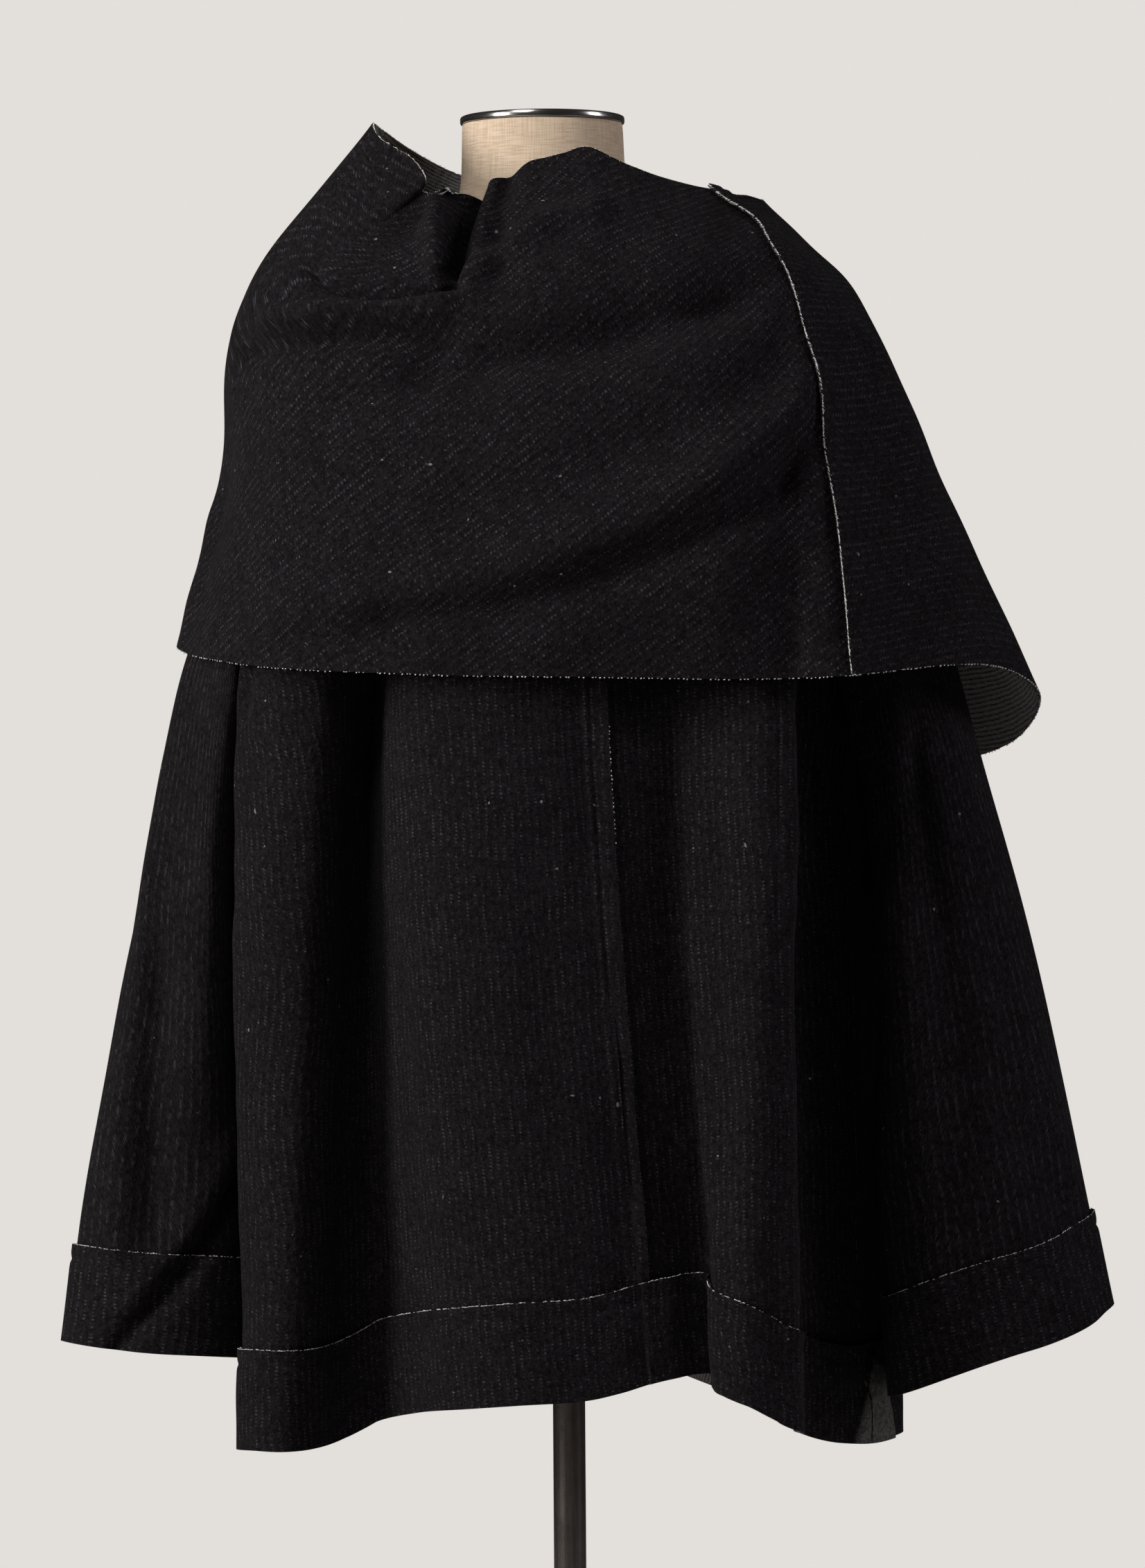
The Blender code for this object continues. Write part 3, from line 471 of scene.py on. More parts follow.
def yarnEnds():
    n = Nodes("cutYarn")
    speck = n.noise(n.objectPlace(), 700.0, 2.0)
    n.set(Base_Color=n.mix(speck.above(0.35, 0.6), grey(0.22, (1.0, 0.98, 0.94)),
                           grey(0.62, (1.0, 0.98, 0.95))),
          Roughness=0.85, Specular_IOR_Level=0.2)
    return n


def cutEdge():
    # the sliced rim of the wool: black pile with pale cores of yarn showing
    n = Nodes("cutEdge")
    place = n.objectPlace()
    core = n.noise(place, 330.0, 2.0, 0.6).above(0.5, 0.62)
    n.set(Base_Color=n.mix(core * 0.5, grey(0.008, wool["tint"]), grey(0.16, (1, 0.98, 0.95))),
          Roughness=0.95, Specular_IOR_Level=0.1)
    return n


def linenCover():
    n = Nodes("linenCover")
    place = n.objectPlace()
    u, v, _ = n.split(n.uv())
    thread = 0.00075
    slub = n.noise(n.scaled(n.uv(), (40.0, 900.0, 1.0)), 1.0, 2.0)
    slubDown = n.noise(n.scaled(n.uv(), (900.0, 40.0, 1.0)), 1.0, 2.0)
    warp, weft = (u / thread).wave(), (v / thread).wave()
    tone = n.mix((slub * 0.5 + slubDown * 0.5).above(0.38, 0.62), (0.46, 0.355, 0.255, 1),
                 (0.62, 0.50, 0.375, 1))
    tone = n.mix((warp * weft) * 0.35, tone, (0.36, 0.27, 0.19, 1))
    tone = n.mix(n.noise(place, 9.0, 3.0).above(0.35, 0.75) * 0.25, tone, (0.45, 0.34, 0.24, 1))
    n.set(Base_Color=tone, Roughness=0.92, Specular_IOR_Level=0.2,
          Normal=n.bump(warp * 0.5 + weft * 0.5 + slub * 0.4, 0.35, 0.0003))
    return n


def polishedPlate():
    n = Nodes("polishedPlate")
    swirl = n.noise(n.scaled(n.objectPlace(), (60.0, 60.0, 900.0)), 1.0, 3.0)
    n.set(Base_Color=n.mix(swirl.above(0.3, 0.7), (0.27, 0.26, 0.25, 1), (0.36, 0.35, 0.34, 1)),
          Metallic=1.0, Roughness=swirl * 0.14 + 0.14, Normal=n.bump(swirl, 0.08, 0.0002))
    return n


def darkSteel():
    n = Nodes("darkSteel")
    place = n.objectPlace()
    rub = n.noise(n.scaled(place, (400.0, 400.0, 12.0)), 1.0, 3.0)
    marks = n.noise(place, 60.0, 4.0, 0.6)
    n.set(Base_Color=n.mix(rub.above(0.35, 0.65), (0.075, 0.066, 0.060, 1),
                           (0.120, 0.106, 0.098, 1)),
          Metallic=0.85, Roughness=marks * 0.22 + 0.16, Normal=n.bump(rub, 0.05, 0.0002))
    return n


woolOut = woolFace("ribWool", 0.8).material
woolCollar = woolFace("ribWoolCollar", 0.85).material
woolIn = woolFace("woolWrongSide", 0.6, wrongSide=True).material
woolRim = cutEdge().material
yarn = yarnEnds().material
linen = linenCover().material
chrome = polishedPlate().material
steel = darkSteel().material
print("materials made")


# ---- the sheets of cloth
walls = {}      # the inner and outer grid points of each cloth node


def linked(name, data):
    made = bpy.data.objects.new(name, data)
    bpy.context.collection.objects.link(made)
    return made


def meshFrom(name, shape):
    mesh = bpy.data.meshes.new(name)
    shape.to_mesh(mesh)
    shape.free()
    return mesh


def addPiece(name, mesh, materials, node=None, sharp=50):
    for look in materials:
        mesh.materials.append(look)
    mesh.shade_smooth()
    mesh.set_sharp_from_angle(angle=math.radians(sharp))
    made = linked(name, mesh)
    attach(made, "root")
    if node:
        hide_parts(node)
    return made


def clothPiece(name, node, columns, rows, faces, looks, tube=False):
    # faces(a, d) gives inner points, outer points and grain; a runs across the piece, d down it
    shape = bmesh.new()
    place = shape.verts.layers.int.new("place")
    bmesh.ops.create_grid(shape, x_segments=columns, y_segments=rows, size=1.0)
    wide, count = columns + 1, (columns + 1) * (rows + 1)
    for vert in shape.verts:
        column = round((vert.co.x + 1) / 2 * columns)
        vert[place] = round((1 - vert.co.y) / 2 * rows) * wide + column
    a, d = np.meshgrid(np.linspace(0, 1, wide), np.linspace(0, 1, rows + 1))
    inner, outer, grain, *opened = faces(a, d)
    walls[node] = (inner, outer)
    points = np.concatenate((inner.reshape(-1, 3), outer.reshape(-1, 3)))
    if tube:
        ends = [vert for vert in shape.verts if vert[place] % wide in (0, columns)]
        for vert in shape.verts:
            vert.co = points[vert[place]]
        bmesh.ops.remove_doubles(shape, verts=ends, dist=1e-5)
    first = shape.faces[:]
    made = bmesh.ops.extrude_face_region(shape, geom=first, use_keep_orig=True)
    for face in shape.faces:
        face.material_index = 2
    for face in first:
        face.material_index = 1
    for item in made["geom"]:
        if isinstance(item, bmesh.types.BMFace):
            item.material_index = 0
        elif isinstance(item, bmesh.types.BMVert):
            item[place] += count
    for vert in shape.verts:
        vert.co = points[vert[place]]
    bmesh.ops.recalc_face_normals(shape, faces=shape.faces[:])
    mesh = meshFrom(name, shape)
    places = np.empty(len(mesh.vertices), np.int32)
    mesh.attributes["place"].data.foreach_get("value", places)
    corners = np.empty(len(mesh.loops), np.int32)
    mesh.loops.foreach_get("vertex_index", corners)
    spots = (places[corners] % count).reshape(-1, 4)
    if tube:        # the column where the tube closes belongs to both of its ends
        column = spots % wide
        spots = spots + np.where((column == 0) & (column.max(1, keepdims=True) > columns / 2),
                                 columns, 0)
    if opened:      # how much of the wrong side shows on the outer face
        shown = mesh.attributes.new("opened", "FLOAT", "POINT")
        shown.data.foreach_set("value", opened[0].reshape(-1)[places % count].astype(np.float32))
    layerUv = mesh.uv_layers.new(name="grain")
    layerUv.data.foreach_set("uv", grain.reshape(-1, 2)[spots.ravel()].astype(np.float32).ravel())
    mesh.attributes.remove(mesh.attributes["place"])
    return addPiece(name, mesh, [looks, woolIn, woolRim], node)


# how much the cut yarn ends differ from each other
loose = {"along": 0.3, "sizes": (0.75, 1.35), "twist": 0.4, "aside": 0.8, "out": 0.6, "lift": 0.0003}


def tufts(name, path, aim, spec, seed):
    # cut yarn ends along a raw edge: aim is the way that each one stands out of the cloth
    rng = np.random.default_rng(seed)
    run = np.concatenate(([0.0], np.cumsum(np.linalg.norm(np.diff(path, axis=0), axis=1))))
    count = int(run[-1] / spec["every"])
    stray = rng.uniform(-loose["along"], loose["along"], count)
    spots = (np.arange(count) + stray + 0.5) * run[-1] / count
    shape = bmesh.new()
    keep = rng.uniform(0, 1, count) < spec["kept"]
    size = rng.uniform(*loose["sizes"], (count, 3))
    lean = rng.uniform(-1, 1, (count, 2))

    def partWay(points, spot):
        return Vector([np.interp(spot, run, points[:, axis]) for axis in range(3)])

    for k in np.nonzero(keep)[0]:
        middle, out = partWay(path, spots[k]), partWay(aim, spots[k]).normalized()
        along = (partWay(path, spots[k] + 0.002) - middle).normalized()
        aside = out.cross(along).normalized()
        twist = spec["twist"] * (1 + loose["twist"] * lean[k, 0])
        axis = (along * math.cos(twist) + aside * math.sin(twist) * loose["aside"]
                + out * math.sin(twist) * loose["out"] * lean[k, 1]).normalized()
        third = axis.cross(out).normalized()
        turn = Matrix((axis, third, axis.cross(third))).transposed().to_4x4()
        long, thick = spec["size"]
        scale = Matrix.Diagonal((long / 2 * size[k, 0], thick / 2 * size[k, 1],
                                 thick / 2 * size[k, 2], 1.0))
        place = middle + out * (spec["out"] + loose["lift"] * lean[k, 1])
        bmesh.ops.create_icosphere(shape, subdivisions=1, radius=1.0,
                                   matrix=Matrix.Translation(place) @ turn @ scale)
    return addPiece(name, meshFrom(name, shape), [yarn], sharp=180)


# every and size in metres; twist leans each end across the edge; kept is the share that shows;
# deep is how far into the wall they sit
fringes = {
    "cord": {"every": 0.0015, "size": (0.0031, 0.0007), "twist": 0.60, "out": 0.0001,
             "kept": 0.84, "deep": 0.7},
    "line": {"every": 0.0018, "size": (0.0025, 0.0007), "twist": 0.40, "out": 0.0001,
             "kept": 0.70, "deep": 0.75},
    "dots": {"every": 0.0029, "size": (0.0016, 0.0010), "twist": 0.9, "out": 0.0003,
             "kept": 0.82, "deep": 0.8},
}


def rowPath(inner, outer, row, fringe):
    return inner[row] + (outer[row] - inner[row]) * fringes[fringe]["deep"]


def alongRows(points, start=0):
    # distance along each row of a grid, measured from one of its columns
    steps = np.linalg.norm(np.diff(points, axis=1), axis=-1)
    run = np.concatenate((np.zeros((len(points), 1)), np.cumsum(steps, axis=1)), axis=1)
    return run - run[:, [start]]


def downColumns(points):
    steps = np.linalg.norm(np.diff(points, axis=0), axis=-1)
    return np.concatenate((np.zeros((1, points.shape[1])), np.cumsum(steps, axis=0)))


def bodyLength(direction):
    top = bodySurface(direction, np.full(np.shape(direction), body["down"][3]))
    foot = bodySurface(direction, np.full(np.shape(direction), body["down"][4]))
    return np.linalg.norm(foot - top, axis=-1)


def hemDown(direction, above):
    return body["down"][4] - above * (body["down"][4] - body["down"][3]) / bodyLength(direction)


def degreesFor(direction, down, surface):
    # degrees round the cloth that make one metre there
    return 1 / np.linalg.norm(surface(direction + 0.5, down) - surface(direction - 0.5, down),
                              axis=-1)


def lapLift(direction, seam, perMetre, air):
    return (layer + air) * smoothStep(1 + (seam - direction) / perMetre / laps["rise"])


# mm in a degree, where the broad waves start, then seed, wave (mm) and height (m) of both
uneven = {"reach": 4.2, "from": 0.34, "over": 0.1, "broad": (5, 95.0, 0.0012),
          "fine": (6, 38.0, 0.0003)}


def unevenBody(direction, down):
    x, y = wrapped(direction, 180.0) * uneven["reach"], down * 1000
    free = smoothStep((down - uneven["from"]) / uneven["over"])
    waves = softWaves(x, y * 0.5, *uneven["broad"]) * free + softWaves(x, y, *uneven["fine"])
    return waves + roundCreases(bodyCreases, direction, down)


def bodyWall(direction, down, lift):
    point = bodySurface(direction, down)
    normal = outwardAt(bodySurface, direction, down, *fineStep)
    lift = (lift + unevenBody(direction, down))[..., None]
    return point + normal * lift, point + normal * (lift + cloth["wall"])


# the lapped strip down the centre back stands up towards its raw edge, beside its stitches
strip = {"tilt": 0.0026, "groove": 0.0014, "at": 0.0100, "width": 0.0019, "fade": 0.05,
         "finer": 0.10, "specks": (0.485, 0.60)}

panels = {
    "back_left": {"from": 0.0, "to": body["leftSeam"], "columns": 190, "rows": 190,
                  "lap": laps["back"], "armholes": (0, 1), "grainAt": 0,
                  "flat": (0.42, 0.87), "area": 0.29},
    "back_right": {"from": body["rightSeam"], "to": 360.0, "columns": 170, "rows": 190,
                   "lap": 0.0, "armholes": (1, 0), "grainAt": -1,
                   "flat": (0.31, 0.87), "area": 0.20},
    "front": {"from": body["leftSeam"], "to": body["rightSeam"], "columns": 190, "rows": 120,
              "lap": 0.0, "armholes": (1, 1), "grainAt": 95,
              "flat": (0.70, 0.86), "area": 0.45},
}


def bodyPanel(name):
    spec = panels[name]

    def faces(a, d):
        guess = spec["from"] + (spec["to"] - spec["from"]) * a
        foot = hemDown(guess, band["height"] - band["lap"])
        down = foot * d
        first = np.full_like(down, spec["from"])
        last = np.full_like(down, spec["to"])
        perMetre = degreesFor(first, down, bodySurface)
        first = first + (cloth["seamGap"] - spec["lap"]) * perMetre
        last = last - cloth["seamGap"] * degreesFor(last, down, bodySurface)
        first = first + armholeHalf(down) * spec["armholes"][0]
        last = last - armholeHalf(down) * spec["armholes"][1]
        if spec["lap"]:     # finer columns where the raw edge climbs onto the other panel
            a = a + (strip["finer"] * np.sin(2 * math.pi * np.minimum(a, 0.5)) * (a - 1)
                     * smoothStep(1 - a * 2))
        direction = first + (last - first) * a
        lift = np.zeros_like(down)
        if spec["lap"]:
            lift = lapLift(direction, spec["from"], perMetre, laps["air"])
            inside = (direction - first) / perMetre     # m from the raw edge
            above = smoothStep((foot - down) / strip["fade"])
            lift = lift + above * strip["tilt"] * smoothStep(1 - inside / spec["lap"])
            lift = lift - above * strip["groove"] * hump((inside - strip["at"]) / strip["width"])
        inner, outer = bodyWall(direction, down, lift)
        return inner, outer, np.stack((alongRows(inner, spec["grainAt"]), downColumns(inner)), -1)

    made = clothPiece(name + "_cloth", name, spec["columns"], spec["rows"], faces, woolOut)
    if spec["lap"]:     # a worn stretch of the strip's raw edge
        inner, outer = walls[name]
        some = slice(*(int(share * spec["rows"]) for share in strip["specks"]))
        path = (inner + (outer - inner) * fringes["dots"]["deep"])[some, 0]
        tufts("back_lap_yarn", path, (inner[:, 0] - inner[:, 2])[some],
                           fringes["dots"], seed=11)


for panelName in panels:
    bodyPanel(panelName)
print("body panels made")

bands = {
    "hem_band_back_left": {"columns": 230, "flat": (0.45, 0.067), "bareTo": 0},
    "hem_band_back_right": {"columns": 200, "flat": (0.31, 0.067), "bareTo": 48},
    "hem_band_front": {"columns": 240, "flat": (0.79, 0.067), "bareTo": 0},
}


def bandGroove(above):
    # the row of stitches below the band's raw edge pulls the cloth in
    return -band["groove"] * hump((band["height"] - band["stitch"] - above) / band["grooveWidth"])


# the side seam opens at the hem in a small inverted V, which shows the wrong side
pleat = {"centre": 275.8, "top": 0.064, "apex": 0.6, "spread": 5.0, "height": 0.005,
         "sides": 2.5, "tip": 6}


def pleatShape(direction, above):
    drop = np.clip(1 - above / pleat["top"], 0.0, 1.0)
    reach = pleat["apex"] + pleat["spread"] * drop
    aside = np.abs(wrapped(direction, pleat["centre"])) / reach
    return smoothStep((1 - aside) * pleat["sides"]) * smoothStep(drop * pleat["tip"])


def hemBand(name):
    spec, under = bands[name], name.replace("hem_band_", "")
    first, last = panels[under]["from"], panels[under]["to"]
    first = first + (band["endGap"] if first else 0.0)
    last = last - (band["endGap"] if last < 360.0 else 0.0)

    def faces(a, d):
        direction = first + (last - first) * a
        above = band["height"] * (1 - d)
        down = hemDown(direction, above)
        fromBack = np.minimum(direction, 360.0 - direction) / degreesFor(direction, down, bodySurface)
        overLap = smoothStep(laps["over"] - fromBack / (laps["back"] + laps["rise"]))
        lift = band["air"] + layer * (1 + overLap)
        opened = pleatShape(direction, above)
        inner, outer = bodyWall(direction, down, lift + pleat["height"] * opened)
        normal = (outer - inner) / cloth["wall"]
        outer = outer + normal * bandGroove(above)[..., None]
        return inner, outer, np.stack((alongRows(inner), downColumns(inner)), -1), opened

    made = clothPiece(name + "_cloth", name, spec["columns"], band["rows"], faces, woolOut)
    inner, outer = walls[name]
    shown = slice(spec["bareTo"], None)     # the deep trough has no loose yarn
    edge = tufts(name + "_yarn", rowPath(inner, outer, 0, "line")[shown],
                 (inner[0] - inner[2])[shown], fringes["line"], seed=len(name))


for bandName in bands:
    hemBand(bandName)
print("hem bands made")


def sleeveDown(surface, turn, above):
    length = np.linalg.norm(surface(turn, np.ones_like(turn))
                            - surface(turn, np.zeros_like(turn)), axis=-1)
    return 1 - above / length


def sleeveWall(side, surface, turn, down, lift):
    around, length = sleeveSpan
    creases = [(a * around, b * length, c * around, d * length, *rest)
               for a, b, c, d, *rest in sleeveFolds[side]]
    lift = lift + creaseHeight(creases, turn * around, down * length)
    point = surface(turn, down)
    normal = outwardAt(surface, turn, down, 0.004, 0.01)
    away = point - point.mean(axis=1, keepdims=True)
    normal = normal * np.sign(np.sum(normal * away, axis=-1, keepdims=True).mean())
    if side == "left":      # the wearer's left sleeve lies flat against the back's outer fold
        start, end = flatSide["turn"], flatSide["turnEnd"]
        flat = (smoothStep((turn - start[0]) / start[1]) * smoothStep((end[0] - turn) / end[1])
                * smoothStep(down / flatSide["down"])
                * smoothStep((flatSide["downEnd"][0] - down) / flatSide["downEnd"][1]))
        point = point + flat[..., None] * np.array(flatSide["way"]) * flatSide["height"] / 1000
    lift = lift[..., None]
    return point + normal * lift, point + normal * (lift + cloth["wall"])


def unevenSleeve(side, turn, down):
    angle = turn * 2 * math.pi
    radius, length = sleeveCloth["radius"], sleeveCloth["length"]
    waves = softWaves(np.cos(angle) * radius, down * length + np.sin(angle) * radius,
                      sleeves[side]["waves"], *sleeveCloth["wave"])
    return waves * smoothStep((down - sleeveCloth["from"]) / sleeveCloth["over"])


def sleeveGrain(inner):
    around = alongRows(inner, inner.shape[1] // 2) * sleeveCloth["ribs"]
    return np.stack((around, downColumns(inner)), -1)


def sleeve(side):
    surface = sleeveSurface(side)

    def faces(a, d):
        down = sleeveDown(surface, a, band["height"] - band["lap"]) * d
        inner, outer = sleeveWall(side, surface, a, down, unevenSleeve(side, a, down))
        return inner, outer, sleeveGrain(inner)

    def cuffFaces(a, d):
        above = band["height"] * (1 - d)
        down = sleeveDown(surface, a, above)
        inner, outer = sleeveWall(side, surface, a, down,
                                  layer + laps["air"] + unevenSleeve(side, a, down))
        outer = outer + (outer - inner) / cloth["wall"] * bandGroove(above)[..., None]
        return inner, outer, sleeveGrain(inner)

    made = clothPiece(f"sleeve_{side}_cloth", f"sleeve_{side}", sleeveCloth["columns"],
                      sleeveCloth["rows"], faces, woolOut, tube=True)
    made = clothPiece(f"cuff_{side}_cloth", f"cuff_{side}", sleeveCloth["cuffColumns"],
                      band["rows"], cuffFaces, woolOut, tube=True)
    inner, outer = walls[f"cuff_{side}"]
    edge = tufts(f"cuff_{side}_yarn", rowPath(inner, outer, 0, "line"), inner[0] - inner[2],
                 fringes["line"], seed=31)


for sideName in sleeves:
    sleeve(sideName)
print("sleeves made")

collarCuts = {
    "collar_left": {"from": collar["seam"] - 360.0, "to": collar["frontSeam"], "columns": 215,
                    "rows": 150, "tilt": 38.0, "flat": (0.74, 0.40), "area": 0.20},
    "collar_right": {"from": collar["frontSeam"], "to": collar["seam"], "columns": 225,
                     "rows": 140, "tilt": -6.0, "flat": (0.98, 0.40), "area": 0.31},
}
levelRibs = {"from": 0.10, "over": 0.12, "above": 0.20, "share": 0.7}


def collarGrain(across, down, tilt):
    # ribs climb to the wearer's right; beside the standing peak they run nearly level
    start, over = levelRibs["from"], levelRibs["over"]
    level = smoothStep((across - start) / over) * smoothStep((levelRibs["above"] - down) / over)
    slope, narrowed = math.tan(math.radians(tilt)), math.cos(math.radians(tilt))
    ribs = (down - slope * (across - level * levelRibs["share"] * (across - start))) * narrowed
    return np.stack((ribs, across * narrowed + down * 0.4), -1)


def seamBow(down):
    # the lapped seam swings forward a little where it leaves the neck
    degrees, middle, reach = collar["bow"]
    return -degrees * hump((down - middle) / reach)


def collarPiece(name):
    spec = collarCuts[name]
    lapping = name == "collar_right"

    def faces(a, d):
        down = collar["down"][3] * d
        first, last = np.full_like(down, spec["from"]), np.full_like(down, spec["to"])
        perFirst = degreesFor(first, down, collarSurface)
        perLast = degreesFor(last, down, collarSurface)
        if lapping:
            last = last + seamBow(down)
        else:
            first = first + seamBow(down)
        edgeAt = last
        first = first + cloth["seamGap"] * perFirst
        last = last + ((laps["collar"] if lapping else 0.0) - cloth["seamGap"]) * perLast
        direction = first + (last - first) * a
        lift = softWaves(direction * collar["reach"], down * 1000, *collar["uneven"])
        if lapping:
            lift = lift + lapLift(2 * edgeAt - direction, edgeAt, perLast,
                                  laps["collarAir"])
            inside = (last - direction) / perLast       # stitches behind the raw edge
            lift = lift - collar["groove"] * hump((inside - collar["stitch"])
                                                  / collar["grooveWidth"])
        point = collarSurface(direction, down)
        normal = outwardAt(collarSurface, direction, down, *fineStep)
        inner = point + normal * lift[..., None]
        outer = point + normal * (lift + cloth["wall"])[..., None]
        base = collarBase(direction, down)
        if lapping:
            across = -alongRows(base, -1)
        else:
            centre = int(round(a.shape[1] * -spec["from"] / (spec["to"] - spec["from"])))
            across = alongRows(base, centre)
        return inner, outer, collarGrain(across, down, spec["tilt"])

    made = clothPiece(name + "_cloth", name, spec["columns"], spec["rows"], faces, woolCollar)
    inner, outer = walls[name]
    edges = [tufts(name + "_foot_yarn", rowPath(inner, outer, -1, "dots"), inner[-1] - inner[-3],
                   fringes["dots"], seed=7),
             tufts(name + "_top_yarn", rowPath(inner, outer, 0, "cord"), inner[0] - inner[2],
                   fringes["cord"], seed=8)]
    if lapping:
        lap = [wall.transpose(1, 0, 2)[-1] for wall in (inner, outer)]
        before = inner.transpose(1, 0, 2)[-3]
        edges.append(tufts(name + "_lap_yarn", lap[0] + (lap[1] - lap[0]) * collar["lapYarn"],
                           lap[0] - before, fringes["cord"], seed=9))


for collarName in collarCuts:
    collarPiece(collarName)
print("collar made")

# ---- the dress form and its stand: height, then half width, front and back reach (mm)
formRows = np.array([
    (860, 133, 103, 99), (950, 128, 100, 95), (1040, 115, 95, 86), (1130, 132, 104, 88),
    (1220, 150, 120, 92), (1300, 158, 98, 84), (1340, 175.8, 82, 66), (1360, 171.8, 72, 54),
    (1378, 151.8, 68, 44), (1396, 105, 70, 34), (1418, 74, 82, 22), (1445, 59, 93, 16),
    (1494.2, 55, 97, 13)], float)
form = {"around": 120, "rings": 90, "ovalAbove": 1400, "coverWidth": 0.62, "neckTop": 1.4942,
        "neckLean": -0.042, "capRadius": 0.0565, "poleRadius": 0.011, "baseRadius": 0.190,
        "baseThick": 0.008, "foot": 0.860}


def formBody():
    rings, around = form["rings"], form["around"]
    heights = curveAt(np.arange(len(formRows)), formRows[:, :1],
                      np.linspace(0, len(formRows) - 1, rings + 1))[:, 0]
    sizes = curveAt(formRows[:, 0], formRows[:, 1:], heights)
    shape = bmesh.new()
    spot = shape.verts.layers.int.new("place")
    bmesh.ops.create_grid(shape, x_segments=around, y_segments=rings, size=1.0)
    for vert in shape.verts:
        column = round((vert.co.x + 1) / 2 * around)
        row = round((vert.co.y + 1) / 2 * rings)
        halfWidth, front, back = sizes[row]
        turn = 2 * math.pi * column / around
        y = (back if math.cos(turn) > 0 else front) * math.cos(turn)
        if heights[row] > form["ovalAbove"]:      # the neck is a plain oval, set forward
            y = (back - front) / 2 + (back + front) / 2 * math.cos(turn)
        vert.co = (halfWidth * math.sin(turn) / 1000, y / 1000, heights[row] / 1000)
        vert[spot] = row * (around + 1) + column
    grain = shape.loops.layers.uv.new("grain")
    for face in shape.faces:
        for loop in face.loops:
            row, column = divmod(loop.vert[spot], around + 1)
            loop[grain].uv = (column / around * form["coverWidth"], heights[row] / 1000)
    bmesh.ops.remove_doubles(shape, verts=shape.verts, dist=1e-5)
    bmesh.ops.holes_fill(shape, edges=[e for e in shape.edges if e.is_boundary], sides=0)
    bmesh.ops.recalc_face_normals(shape, faces=shape.faces[:])
    addPiece("form_body", meshFrom("form_body", shape), [linen], "form_torso", 60)


def turned(name, node, profile, look, centre=(0.0, 0.0), segments=96):
    # a profile of radius and height, spun round and closed
    shape = bmesh.new()
    points = [shape.verts.new((0.0, 0.0, profile[0][1]))]
    points += [shape.verts.new((radius, 0.0, height)) for radius, height in profile]
    points.append(shape.verts.new((0.0, 0.0, profile[-1][1])))
    edges = [shape.edges.new(pair) for pair in zip(points, points[1:])]
    bmesh.ops.spin(shape, geom=points + edges, cent=(0, 0, 0), axis=(0, 0, 1),
                   angle=2 * math.pi, steps=segments, use_merge=True)
    bmesh.ops.remove_doubles(shape, verts=shape.verts, dist=1e-6)
    bmesh.ops.recalc_face_normals(shape, faces=shape.faces[:])
    bmesh.ops.translate(shape, verts=shape.verts, vec=(*centre, 0.0))
    addPiece(name, meshFrom(name, shape), [look], node, 35)


formBody()
top, capRadius = form["neckTop"], form["capRadius"]
turned("neck_plate", "neck_cap",
       ((capRadius - 0.0012, top + 0.0003), (capRadius - 0.0003, top + 0.0006),
        (capRadius, top + 0.0014), (capRadius, top + 0.0042), (capRadius - 0.0004, top + 0.0050),
        (capRadius - 0.0014, top + 0.0055), (capRadius - 0.006, top + 0.0055)),
       chrome, (0.0, form["neckLean"]))
radius = form["poleRadius"]
turned("pole", "stand_pole",
       ((radius - 0.001, form["baseThick"] + 0.0003), (radius, form["baseThick"] + 0.0013),
        (radius, form["foot"] - 0.0013), (radius - 0.001, form["foot"] - 0.0003)),
       steel, segments=64)
radius, thick = form["baseRadius"], form["baseThick"]
turned("base_plate", "stand_base",
       ((radius - 0.001, 0.0), (radius, 0.001), (radius, thick - 0.0035),
        (radius - 0.0009, thick - 0.0012), (radius - 0.003, thick), (radius - 0.02, thick)),
       steel, segments=128)
print("form and stand made")

# ---- floor, light and camera
studio = {"backdrop": (0.770, 0.738, 0.709), "ambient": 0.042, "floor": (0.78, 0.76, 0.74),
          "floorHalf": 3.5, "below": 0.0002}


def makeFloor():
    shape = bmesh.new()
    bmesh.ops.create_grid(shape, x_segments=1, y_segments=1, size=studio["floorHalf"])
    bmesh.ops.translate(shape, verts=shape.verts, vec=(0, 0, -studio["below"]))
    mesh = meshFrom("floor", shape)
    n = Nodes("paleFloor")
    n.set(Base_Color=(*studio["floor"], 1), Roughness=0.9, Specular_IOR_Level=0.1)
    mesh.materials.append(n.material)
    linked("floor", mesh)


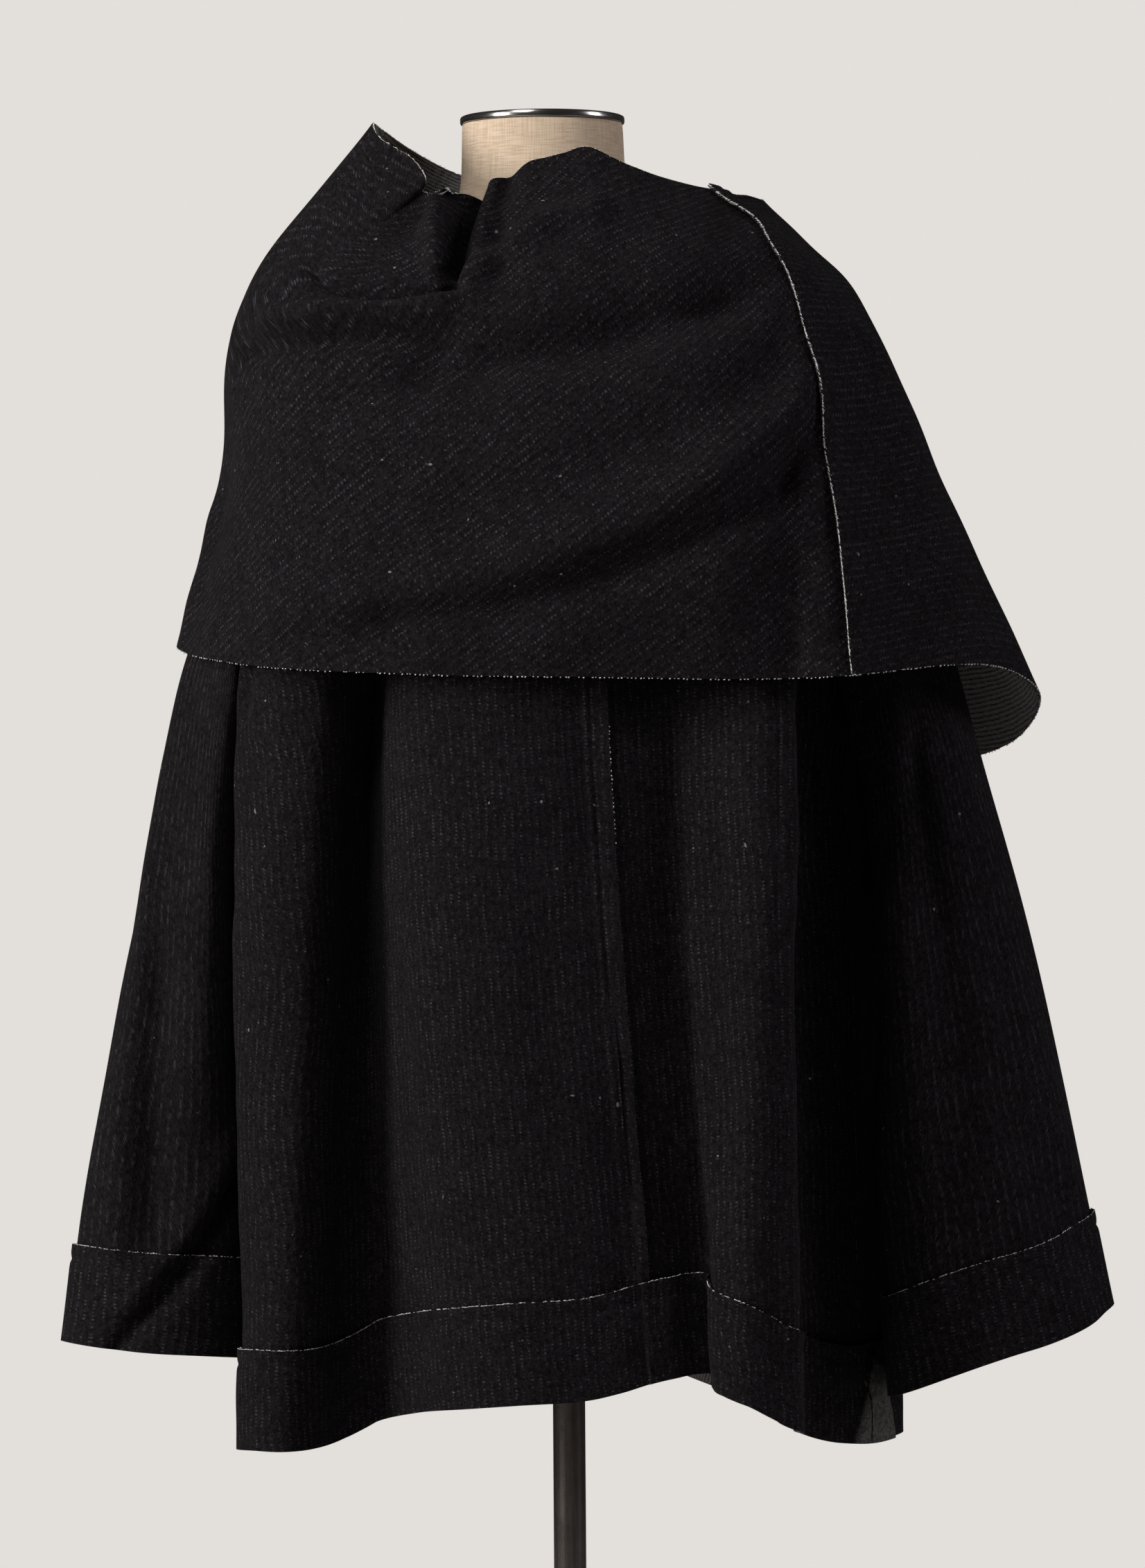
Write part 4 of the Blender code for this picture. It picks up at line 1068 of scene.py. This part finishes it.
def makeWorld():
    world = bpy.data.worlds.new("studio")
    bpy.context.scene.world = world
    world.use_nodes = True
    tree = world.node_tree
    back = tree.nodes["Background"]
    back.inputs["Color"].default_value = (*studio["backdrop"], 1)
    soft = tree.nodes.new("ShaderNodeBackground")
    soft.inputs["Color"].default_value = (1.0, 0.97, 0.95, 1)
    soft.inputs["Strength"].default_value = studio["ambient"]
    seen = tree.nodes.new("ShaderNodeLightPath")
    both = tree.nodes.new("ShaderNodeMixShader")
    for k, socket in enumerate((seen.outputs["Is Camera Ray"], soft.outputs[0], back.outputs[0])):
        tree.links.new(socket, both.inputs[k])
    tree.links.new(both.outputs[0], tree.nodes["World Output"].inputs["Surface"])


view = {"azimuth": 163.0, "height": 1.041, "distance": 4.30, "aside": 0.0053, "roll": 0.0070,
        "lens": 144.92}
turn = math.radians(view["azimuth"])
right = Vector((math.cos(turn), math.sin(turn), 0.0))
towards = Vector((math.sin(turn), -math.cos(turn), 0.0))


def areaLight(name, aside, near, height, size, power, colour, aim=(0.0, 0.0, 1.1)):
    data = bpy.data.lights.new(name, "AREA")
    data.shape, data.size, data.size_y = "RECTANGLE", size[0], size[1]
    data.energy, data.color = power, colour
    lamp = linked(name, data)
    place = right * aside + towards * near + Vector((0, 0, height))
    lamp.matrix_world = (Matrix.Translation(place)
                         @ (Vector(aim) - place).to_track_quat("-Z", "Y").to_matrix().to_4x4())


def makeCamera():
    data = bpy.data.cameras.new("camera")
    data.lens, data.sensor_width = view["lens"], 36.0
    camera = linked("camera", data)
    place = right * view["aside"] + towards * view["distance"] + Vector((0, 0, view["height"]))
    axes = Matrix((right, Vector((0, 0, 1)), towards)).transposed().to_4x4()
    camera.matrix_world = (Matrix.Translation(place) @ axes
                           @ Matrix.Rotation(-view["roll"], 4, "Z"))
    bpy.context.scene.camera = camera


makeFloor()
makeWorld()
areaLight("sideKey", -3.0, 1.75, 1.85, (0.9, 1.5), 126.0, (1.0, 0.97, 0.95))
areaLight("highKey", -0.55, 0.95, 2.15, (0.5, 0.5), 9.5, (1.0, 0.97, 0.95), (0.0, 0.0, 1.35))
areaLight("sideFill", 3.3, 0.6, 2.1, (1.0, 1.4), 44.0, (1.0, 0.97, 1.0))
makeCamera()
bpy.context.scene.view_settings.view_transform = "Standard"
print("stage made")
